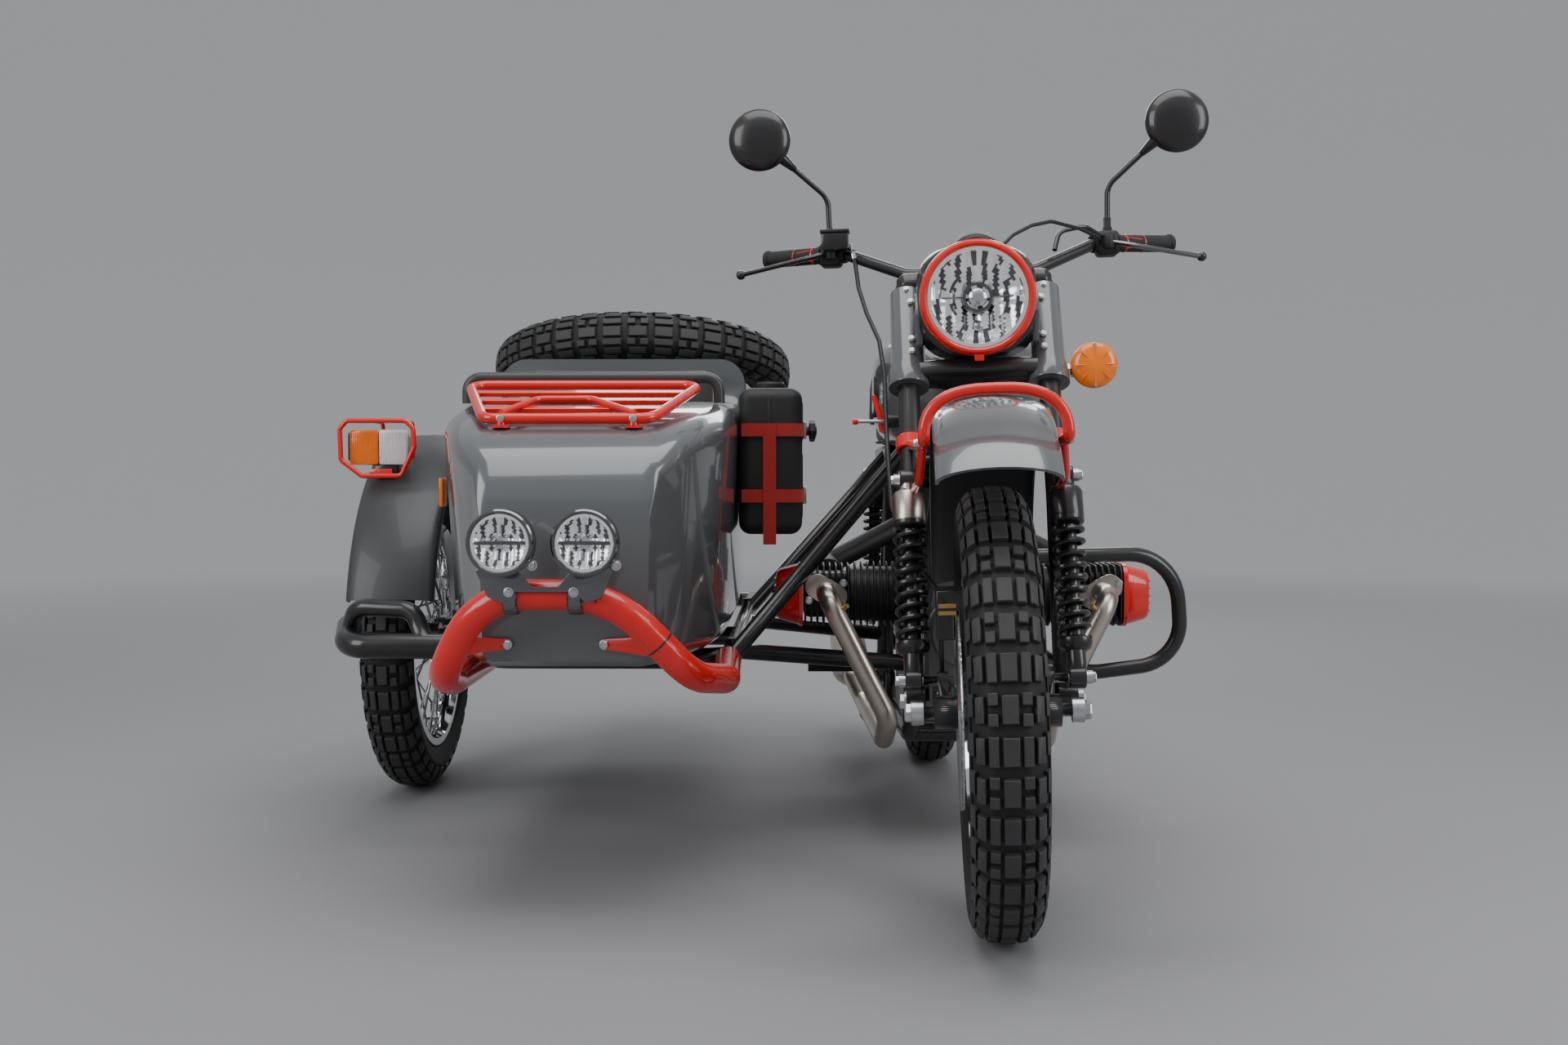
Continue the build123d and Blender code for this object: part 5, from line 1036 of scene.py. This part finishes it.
def engine():
    fins, covers = Shape(), Shape()
    for side in (-1, 1):
        turn = Matrix.Scale(-1, 4, (1, 0, 0)) if side < 0 else Matrix()
        barrel = [(0, 110.4), (52, 110.4)]
        for number in range(8):
            x = 116 + number * 12
            barrel += [(52, x), (61, x + 0.4), (62, x + 1), (62, x + 3), (61, x + 3.6), (52, x + 4)]
        barrel += [(52, 211), (0, 211)]
        fins.add(moved(turned((0, *CYLINDER), (1, *CYLINDER), barrel, 40), turn), DARK_METAL)
        fins.add(moved(box((210, -846, 421), (300.5, -754, 505), 12, 3), turn), DARK_METAL)
        ring = [rounded_ring(Vector((x, *CYLINDER)), Vector((0, 1, 0)), Vector((0, 0, 1)), half, half - 4,
                             22)
                for x, half in ((213, 60), (213.8, 61.5), (216.4, 61.5), (217.2, 60))]
        fins.add(moved(repeated(stitched(ring), 8, DARK_METAL, step=(11.6, 0, 0)), turn), DARK_METAL)
        rows = [(300.9, 63, 59, 30), (308, 63, 59, 30), (310, 60, 56, 29), (344, 51, 47, 26),
                (350, 47, 43, 24), (352, 41, 37, 22)]
        cover = [rounded_ring(Vector((x, *CYLINDER)), Vector((0, 1, 0)), Vector((0, 0, 1)), wide, tall,
                              corner)
                 for x, wide, tall, corner in rows]
        covers.add(moved(stitched(cover), turn), RED_PAINT)
        rib = box((345, -835, 431.5), (356, -765, 436), 1.8)
        covers.add(moved(repeated(rib, 5, RED_PAINT, step=(0, 0, 14.2)), turn), RED_PAINT)
    piece("engine_cylinders_look", fins, "vehicle", ("engine_cylinders",))
    piece("rocker_covers_look", covers, "vehicle", ("rocker_covers",))


def exhaust():
    shape = Shape()
    shape.add(tube([(-170, -480, 200), (-170, -480, 173), (170, -480, 173), (170, -480, 200)], 12, 16),
              NICKEL)
    for side in (-1, 1):
        route = [(PORT_X, -862.5, PORT_Z), (PORT_X, -968, PORT_Z), (146, -968, 250), (150, -900, 200),
                 (170, -430, 200), (192, -350, 240), (192, -290, 244)]
        shape.add(tube([(side * x, y, z) for x, y, z in route], 19, [40, 34, 34, 60, 60], 24), NICKEL)
        muffler = [(side * x, y, z) for x, y, z in MUFFLER]
        shape.add(turned(*muffler,
                         [(0, 0), (21, 0), (25, 6), (33, 30), (40, 52), (42, 66), (42, 586), (40, 600),
                          (30, 622), (24, 632), (20, 632), (20, 560), (0, 560)], 40), NICKEL)
        for along in (70, 560):
            shape.add(turned(*muffler,
                             [(42, along), (43.6, along + 1), (43.6, along + 9), (42, along + 10)], 40,
                             closed=True), CHROME)
        oval = []
        for step in range(32):
            angle = step * math.tau / 32
            run = math.cos(angle)
            x, z = 24 * run + 18 * math.copysign(min(1, abs(run) * 3), run), 24 * math.sin(angle)
            tilt = math.radians(30 * side)
            oval.append((x * math.cos(tilt) - z * math.sin(tilt), x * math.sin(tilt) + z * math.cos(tilt)))
        shape.add(plate(oval, (side * PORT_X, -862.4, PORT_Z), (1, 0, 0), (0, 0, 1), 9, 1.5), NICKEL)
        shape.add(turned((side * 236, -968, 440), (side * 214, -985, 462),
                         [(0, 0), (8, 0), (8, 6), (5, 8), (5, 26), (0, 28)], 10), BRASS_PAD)
    piece("exhaust_system_look", shape, "vehicle", ("exhaust_system",))


def crash_bar():
    shape = Shape()
    shape.add(tube([(116, -985, 545), (378, -942, 549), (394, -930, 350), (240, -930, 330),
                    (116, -930, 335)], 13.5, [96, 90, 60], 24), BLACK_PAINT)
    piece("crash_bar_look", shape, "vehicle", ("crash_bar",))


# Bodywork of the motorcycle

def tank_and_saddle():
    rows = [(-985, 826, 892, 60, 28), (-930, 745, 940, 128, 58), (-800, 737, 962, 163, 78),
            (-640, 737, 946, 158, 76), (-500, 744, 868, 104, 52), (-452, 768, 800, 66, 14)]
    tank = Shape()
    tank.add(body_through(rows, 6), GREY_PAINT)
    for side in (-1, 1):
        pad = [(-820, 800), (-640, 796), (-560, 790), (-552, 812), (-590, 868), (-700, 888), (-812, 878),
               (-830, 850)]
        tank.add(plate(pad, (side * 147 if side > 0 else -165, 0, 0), (0, 1, 0), (0, 0, 1), 18, 5, 3),
                 GRIP_RUBBER)
    tank.add(turned((0, -760, 955), (0, -752, 985), [(0, 0), (34, 0), (36, 3), (36, 9), (30, 14), (0, 15)],
                    36), CHROME)
    piece("fuel_tank_look", tank, "vehicle", ("fuel_tank",), angle=50)
    saddle = Shape()
    rows = [(-440, 768, 796, 84, 13), (-400, 762, 814, 112, 22), (-300, 753, 812, 127, 24),
            (-190, 753, 810, 130, 24), (-120, 753, 835, 130, 26), (110, 753, 844, 120, 28),
            (186, 753, 828, 98, 26)]
    saddle.add(body_through(rows, 5), SADDLE_COVER)
    for side in (-1, 1):
        seam = [(84, -430, 767), (124, -330, 761), (129, -190, 760), (124, 60, 760), (98, 180, 760)]
        saddle.add(tube([(side * x, y, z) for x, y, z in seam], 2.2, 80, 8), SADDLE_COVER)
    piece("rider_saddle_look", saddle, "vehicle", ("rider_saddle",), angle=60)


# Sidecar

def rack():
    shape = Shape()
    near, far = Vector((NOSE_X, -1262, 786)), Vector((NOSE_X, -1040, 850))
    shape.add(tube([near - Vector((138, 0, 0)), near + Vector((138, 0, 0)), far + Vector((204, 0, 0)),
                    far - Vector((204, 0, 0))], 9, 26, 16, closed=True), RED_PAINT)
    for share in (0.26, 0.5, 0.74):
        half = 138 + share * 66 - 4
        place = near.lerp(far, share)
        shape.add(tube([place - Vector((half, 0, 0)), place + Vector((half, 0, 0))], 0, 0,
                       section=[(-9, -3), (-8, -4), (8, -4), (9, -3), (9, 3), (8, 4), (-8, 4), (-9, 3)],
                       up=(0, 0.277, -0.96)), RED_PAINT)
    for x in (-108, 108):
        foot = Vector((NOSE_X + x, -1262, 770.5))
        shape.add(turned(foot, near + Vector((x, 0, 0)),
                         [(0, 0), (15, 0), (15, 3), (8, 5), (7, 16), (0, 16)], 20), RED_PAINT)
    brace = [near + Vector((-108, 2, 9)), near + Vector((-64, 95, 35)), near + Vector((28, 95, 35)),
             near + Vector((108, 2, 9))]
    shape.add(tube(brace, 6, 24), RED_PAINT)
    piece("nose_rack_look", shape, "vehicle", ("nose_rack",))


def bumper():
    shape = Shape()
    shape.add(tube([(-434, -1019.3, 362), (-424, -1318, 368), (-470, -1418, 384), (-592, -1450, 514),
                    (-790, -1450, 514), (-862, -1414, 384), (-866, -1300, 363), (-868, -1019.3, 362)], 24,
                    [60, 70, 170, 170, 88, 80], 28), RED_PAINT)
    for side in (-1, 1):
        outline = [(0, -7), (28, -10), (96, -19), (104, 14), (60, 13), (0, 8)]
        shape.add(plate(outline, (NOSE_X + side * 72, -1394, 432), (side * 0.97, -0.24, 0), (0, 0, 1),
                        side * 5, 1), RED_PAINT)
    for x in (-78, 78):
        shape.add(box((NOSE_X + x - 4, -1446, 496), (NOSE_X + x + 4, -1388.3, 526), 1), RED_PAINT)
    for place, aim in (((-612, -1450, 514), (1, 0, 0)), ((-520, -1431.1, 437.3), (0.674, 0.177, -0.718))):
        aim = Vector(aim).normalized()
        shape.add(turned(Vector(place), Vector(place) + aim,
                         [(24, -1.6), (24.35, -1.4), (24.35, 1.4), (24, 1.6)], 32,
                         closed=True), BLACK_PAINT)
    piece("nose_bumper_look", shape, "vehicle", ("nose_bumper",))


def fog_lamps():
    shape = Shape()
    for x in FOG_LAMPS_X:
        face, back = (x, -1506, FOG_LAMP_Z), (x, -1450, FOG_LAMP_Z)
        shape.add(turned(face, back,
                         [(43.5, 8), (43.5, 1), (45, -0.8), (48, -0.6), (50.6, 2), (51, 6), (51, 26),
                          (48, 34), (36, 48), (18, 55), (0, 56), (0, 50), (30, 40), (42, 22)],
                         56, closed=True), DARK_CHROME)
        shape.add(turned(face, back, [(39, 4), (39.5, 1.5), (43.4, 1), (43.4, 8), (39, 8)], 48,
                         closed=True), REFLECTOR_PAINTED_GLOW)
        # bright flutes with the painted glow, and flutes with painted dark reflections
        for patch, material in zip(fluted_dish((x, -1500, FOG_LAMP_Z), 40.5, 16, 7, 12, 72),
                                   (REFLECTOR_PAINTED_GLOW, FLUTE_PAINTED_DARK)):
            shape.add(patch, material)
        shape.add(turned((x, -1499, FOG_LAMP_Z), back, [(0, 0), (6, 1), (9, 4), (9.5, 12)], 24), CHROME)
        shape.add(box((x - 40, -1503, 592), (x + 40, -1500, 598), 1), DARK_CHROME)
        shape.add(repeated(box((x - 33, -1504.4, 570), (x - 31.8, -1503, 620), 0.4, 1), 12, CLEAR_GLASS,
                           step=(5.9, 0, 0)), CLEAR_GLASS)
        shape.add(turned(face, back, [(0, -1.4), (22, -0.8), (36, 0.8), (43, 3), (43, 4.2), (36, 2.2),
                                      (22, 0.4), (0, -0.2)], 48), CLEAR_GLASS)
    right = [(20, 528), (36, 548), (58, 560), (92, 566), (104, 552), (86, 512), (62, 503), (44, 520)]
    middle = sum(FOG_LAMPS_X) / 2
    outline = [(middle + x, z) for x, z in right] + [(middle - x, z) for x, z in reversed(right)]
    shape.add(plate(outline, (0, -1475.5, 0), (1, 0, 0), (0, 0, 1), 6, 1.5), DARK_CHROME)
    for x in BUMPER_CLAMPS_X:
        shape.add(turned((x - 11, *BUMPER_TOP), (x + 11, *BUMPER_TOP),
                         [(24.2, 0), (29, 0), (31, 2), (31, 20), (29, 22), (24.2, 22)],
                         36, closed=True), DARK_CHROME)
    piece("fog_lamps_look", shape, "vehicle", ("fog_lamps",))


def sidecar_fender():
    shape = Shape()
    two_sided(shape, arch(SIDECAR_AXLE + Vector((34, 0, 0)), 430, 172, 4, 166, 34, 20), DARK_PAINT)
    for y in (-560, -80):
        shape.add(tube([(-1033, y, 640), (TUB_X - 247, y, 640)], 12, 0), DARK_PAINT)
    piece("sidecar_fender_look", shape, "vehicle", ("sidecar_fender",))


def marker_lamp():
    lamp, guard = Shape(), Shape()
    y = MARKER_Y
    lamp.add(box((-1188, y - 16, 707), (-1111, y + 16, 776), 7, 3), BLACK_PAINT)
    lamp.add(box((-1232, y - 16, 714), (-1188, y + 14, 776), 7, 3), BLACK_PAINT)
    lamp.add(box((-1226, y - 23, 708), (-1167, y - 12, 780), 5), AMBER_LENS)
    lamp.add(box((-1166, y - 23, 708), (-1107, y - 12, 780), 5), CLEAR_LAMP)
    lamp.add(repeated(box((-1222, y - 24.4, 714), (-1220.6, y - 20, 774), 0.5, 1), 14, AMBER_LENS,
                      step=(3.9, 0, 0)), AMBER_LENS)
    lamp.add(repeated(box((-1162, y - 24.4, 714), (-1160.6, y - 20, 774), 0.5, 1), 14, CLEAR_LAMP,
                      step=(3.9, 0, 0)), CLEAR_LAMP)
    lamp.add(box((-1176, y - 16, 684), (-1130, y + 10, 709), 3), BLACK_PAINT)
    piece("fender_lamp_look", lamp, "vehicle", ("fender_lamp",))
    front = y - 40
    ring = [(-1196, 686), (-1238, 718), (-1240, 782), (-1226, 798), (-1106, 798), (-1091, 782),
            (-1089, 744), (-1116, 686)]
    guard.add(tube([(x, front, z) for x, z in ring], 5.2, 12, 14, closed=True), RED_PAINT)
    guard.add(box((-1180, front - 2.5, 684), (-1134, front + 2.5, 700), 1.5), RED_PAINT)
    for x in (-1176, -1114):
        guard.add(tube([(x, front, 797), (x, front + 96, 797), (x, front + 96, 700)], 4.2, 16), RED_PAINT)
    piece("fender_lamp_guard_look", guard, "vehicle", ("fender_lamp_guard",))


def jerry_can():
    low, high = [TO_ROW.inverted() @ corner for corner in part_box("jerry_can")]
    can, straps = Shape(), Shape()
    can.add(box(low, high, 22, 5), MATT_BLACK)
    middle = (low.y + high.y) / 2
    can.add(box((high.x - 3, low.y + 34, low.z + 30), (high.x + 1.2, high.y - 34, low.z + 150), 2.5),
            MATT_BLACK)
    can.add(box((high.x - 3, low.y + 34, high.z - 96), (high.x + 1.2, high.y - 34, high.z - 26), 2.5),
            MATT_BLACK)
    can.add(box((low.x + 54, low.y - 1.2, low.z + 20), (low.x + 60, high.y + 1.2, high.z - 20), 1),
            MATT_BLACK)
    can.add(turned((low.x + 58, middle - 70, high.z - 4), (low.x + 58, middle - 70, high.z + 30),
                   [(0, 0), (26, 0), (27, 3), (27, 14), (24, 18), (0, 19)], 32), MATT_BLACK)
    piece("jerry_can_look", can, "vehicle", ("jerry_can",))
    for height in CAN_STRAPS_Z:
        route = [(low.x + 6, low.y - 3, height), (high.x + 3, low.y - 3, height),
                 (high.x + 3, high.y + 3, height), (low.x + 6, high.y + 3, height)]
        straps.add(tube(route, 0, [25, 25], section=[(-2, -12), (2, -12), (2, 12), (-2, 12)], up=(0, 0, 1)),
                   WEBBING)
    straps.add(tube([(low.x + 58, low.y - 5.5, 562), (low.x + 58, low.y - 5.5, 786)], 0, 0,
                    section=[(-1.5, -12), (1.5, -12), (1.5, 12), (-1.5, 12)], up=(1, 0, 0)), WEBBING)
    for height in CAN_STRAPS_Z:
        straps.add(box((high.x + 1, low.y + 40, height - 16), (high.x + 8, low.y + 76, height + 16), 2),
                   ZINC)
    straps.add(turned((high.x + 4, middle - 30, 774), (high.x + 40, middle - 30, 774),
                      [(0, 0), (9, 0), (9, 8), (20, 10), (21, 14), (20, 20), (6, 24), (0, 24)],
                      8), BLACK_PAINT)
    piece("jerry_can_straps_look", straps, "vehicle", ("jerry_can_straps",))


def swelled(shape, limit, voxel=7.0, pressure=4.0):
    """Cushion filled by cloth simulation, no point moving further than the limit in millimetres."""
    mesh = bpy.data.meshes.new("pad")
    mesh.from_pydata([tuple(point * MM) for point in shape.points], [], shape.faces)
    pad = bpy.data.objects.new("pad", mesh)
    bpy.context.scene.collection.objects.link(pad)
    grid = pad.modifiers.new("grid", "REMESH")
    grid.mode = "VOXEL"
    grid.voxel_size = voxel * MM
    graph = bpy.context.evaluated_depsgraph_get()
    even = bpy.data.meshes.new_from_object(pad.evaluated_get(graph), depsgraph=graph)
    pad.modifiers.remove(grid)
    pad.data = even
    start = [vert.co.copy() for vert in even.vertices]
    cloth = pad.modifiers.new("cloth", "CLOTH")
    cloth.settings.use_pressure = True
    cloth.settings.uniform_pressure_force = pressure
    cloth.settings.quality = 4
    cloth.settings.effector_weights.gravity = 0
    cloth.point_cache.frame_end = 20
    scene = bpy.context.scene
    for number in range(1, 21):
        scene.frame_set(number)
    graph = bpy.context.evaluated_depsgraph_get()
    filled = bpy.data.meshes.new_from_object(pad.evaluated_get(graph), depsgraph=graph)
    for vert, before in zip(filled.vertices, start):
        step = vert.co - before
        if step.length > limit * MM:
            vert.co = before + step.normalized() * (limit * MM)
    pad.modifiers.remove(cloth)
    scene.frame_set(1)
    pad.data = filled
    points = [vert.co / MM for vert in pad.data.vertices]
    faces = [list(face.vertices) for face in pad.data.polygons]
    bpy.data.objects.remove(pad)
    return points, faces


def passenger_seat():
    inset = 9
    cushion = Shape().add(box((-858 + inset, -960 + inset, 397.6 + 4),
                              (-486 - inset, -613 - inset, 560 - inset), 34, 4), SEAT_COVER)
    back = Shape().add(box((-874 + inset, -612 + 4, 452 + inset + 4), (-470 - inset, -560, 905), 24, 4),
                       SEAT_COVER)
    shape = Shape()
    shape.add(swelled(cushion, 8), SEAT_COVER)
    shape.add(swelled(back, 5), SEAT_COVER)
    for x in (-732, -612):
        shape.add(tube([(x, -606, 480), (x, -610.5, 520), (x, -612, 700), (x, -610.5, 860), (x, -600, 896)],
                       2.0, 60, 8), SEAT_COVER)
    for y in (-880, -770):
        shape.add(tube([(-840, y, 545), (-800, y, 557), (-672, y, 560), (-544, y, 557), (-504, y, 545)],
                       2.0, 80, 8), SEAT_COVER)
    piece("sidecar_seat_look", shape, "vehicle", ("sidecar_seat",), angle=70)


def small_fittings():
    """Amber side reflector, steering damper with its rod, and the blade lever beside it."""
    shape = Shape()
    # side reflector in the amber lens finish, which carries a painted glow
    shape.add(box((-911, -1190, 640), (-905, -1154, 688), 1.5), AMBER_LENS)
    piece("side_reflector", shape, "vehicle")
    damper = Shape()
    damper.add(turned(DAMPER_LEFT, DAMPER_RIGHT, [(0, 0), (9, 0), (11, 2), (11, 34), (8, 36), (8, 40),
                                                  (0, 40)], 28), BLACK_PAINT)
    damper.add(turned(DAMPER_LEFT, DAMPER_RIGHT, [(0, -46), (3.2, -46), (3.2, 2), (0, 2)], 14),
               BRIGHT_STEEL)
    damper.add(turned(DAMPER_LEFT, DAMPER_RIGHT, [(0, -56), (5, -55), (6, -51), (5, -46), (0, -45)], 16),
               RED_PAINT)
    damper.add(turned(DAMPER_LEFT, DAMPER_RIGHT, [(0, 38), (5, 38), (5, 62), (0, 62)], 12), BRIGHT_STEEL)
    piece("steering_damper", damper, "vehicle")
    lever = Shape()
    blade = [(0, 0), (9, -4), (16, 0), (8, 30), (-6, 64), (-13, 66), (-14, 60), (-4, 28)]
    lever.add(plate(blade, (DAMPER_LEFT[0] - 8, DAMPER_LEFT[1] + 14, DAMPER_LEFT[2] - 18), (1, 0, 0),
                    (0, 0, 1), 5, 1.5), RED_PAINT)
    piece("blade_lever", lever, "vehicle")


def add_bolts():
    """Bolt heads of the fork, its shocks and fender, and of the bars, plates and axles."""
    steering, fixed = [], []
    ahead = Vector((0, -1, 0))
    for x, y, z, radius in ((NOSE_X - 76, -1399, 432, 6.5), (NOSE_X + 76, -1399, 432, 6.5),
                            (BUMPER_CLAMPS_X[0], -1482, 520, 6), (BUMPER_CLAMPS_X[1], -1482, 520, 6),
                            (-706, -1484, 561, 6.5), (-580, -1484, 561, 6.5),
                            (NOSE_X - 108, -1272, 786, 5), (NOSE_X + 108, -1272, 786, 5)):
        fixed.append((Vector((x, y, z)), ahead, radius))
    for side in (-1, 1):
        outward = Vector((side, 0, 0))
        for across, back, up in ((LEG_X, -73, 66), (111, -75, 40), (111, -75, -34), (111, -75, -58)):
            steering.append((on_head(side * across, back, up), -STEER_BACK, 4.6))
        for x, y, z, radius in ((110, -1560, 746, 6), (126, -1470, 340, 15), (137, *LINK_PIVOT, 13),
                                (145, *FRONT_SHOCK[0], 8), (145, *FRONT_SHOCK[1], 8)):
            steering.append((Vector((side * x, y, z)), outward, radius))
        fixed.append((Vector((side * 353, *CYLINDER)), outward, 7))
        for slope in (-16, 16):
            fixed.append((Vector((side * (PORT_X + slope * 2), -872, PORT_Z + side * slope)), ahead, 6))
        for x, y, z, radius in ((141, 0, 340, 14), (155, *REAR_SHOCK[0], 8), (155, *REAR_SHOCK[1], 8)):
            fixed.append((Vector((side * x, y, z)), outward, radius))
    bolts("steering_bolts", "steering", steering)
    bolts("body_bolts", "vehicle", fixed)


# Columns: node, body, finish, record slot, eased edge in mm
PLAIN_NODES = [
    ("main_frame", "vehicle", BLACK_PAINT, "black_metal", 0),
    ("engine_case", "vehicle", CAST_METAL, "engine_metal", 8),
    ("intake", "vehicle", MATT_BLACK, "black_metal", 3),
    ("rear_fender", "vehicle", GREY_PAINT, "painted_grey", 0),
    ("tail_lamp", "vehicle", RED_LENS, "red_lamp", 4),
    ("rear_swing_arm", "vehicle", BLACK_PAINT, "black_metal", 1),
    ("foot_controls", "vehicle", BLACK_PAINT, "black_metal", 1),
    ("side_covers", "vehicle", MATT_BLACK, "black_metal", 6),
    ("sidecar_frame", "vehicle", BLACK_PAINT, "black_metal", 0),
    ("sidecar_swing_arm", "vehicle", BLACK_PAINT, "black_metal", 0),
    ("sidecar_tub", "vehicle", GREY_PAINT, "painted_grey", 0),
    ("grab_rail", "vehicle", DARK_PAINT, "painted_dark_grey", 0),
    ("step_guard", "vehicle", BLACK_PAINT, "black_metal", 0),
    ("trunk_lid", "trunk", GREY_PAINT, "painted_grey", 3),
    ("spare_carrier", "trunk", BLACK_PAINT, "black_metal", 1),
    ("front_swing_arm", "steering", BLACK_PAINT, "black_metal", 0),
    ("handlebar", "steering", BLACK_PAINT, "black_metal", 0),
    ("brake_caliper", "steering", BLACK_PAINT, "engine_metal", 2),
]

STEEL_ENDS = {
    "front_swing_arm": lambda point: BRIGHT_STEEL if abs(point.x) > 96 else None,
    "rear_swing_arm": lambda point: BRIGHT_STEEL if abs(point.x) > 136 else None,
    "spare_carrier": lambda point: BRIGHT_STEEL if point.z > 948 else None,
    "foot_controls": lambda point: GRIP_RUBBER if abs(point.x) > 196 and point.y > -540 else None,
}

add_camera()
add_stage()
add_tyres()
for node, body, centre, disc, drum in (
        ("front_wheel", "front_wheel", FRONT_AXLE, True, False),
        ("rear_wheel", "rear_wheel", REAR_AXLE, False, True),
        ("sidecar_wheel", "sidecar_wheel", SIDECAR_AXLE, False, True)):
    dressed(node, body, BRIGHT_STEEL, paint=wheel_paint(centre, disc, drum))
dressed("spare_wheel", "trunk", CHROME)
for build in (headlamp, turn_signal, front_fender, fork_look, shrouds, add_shocks, bar_controls, mirrors,
              caliper_pads, engine, exhaust, crash_bar, tank_and_saddle, rack, bumper, fog_lamps,
              sidecar_fender, marker_lamp, jerry_can, passenger_seat, small_fittings, add_bolts):
    build()
for node, body, material, slot, bevel in PLAIN_NODES:
    dressed(node, body, material, bevel, STEEL_ENDS.get(node))
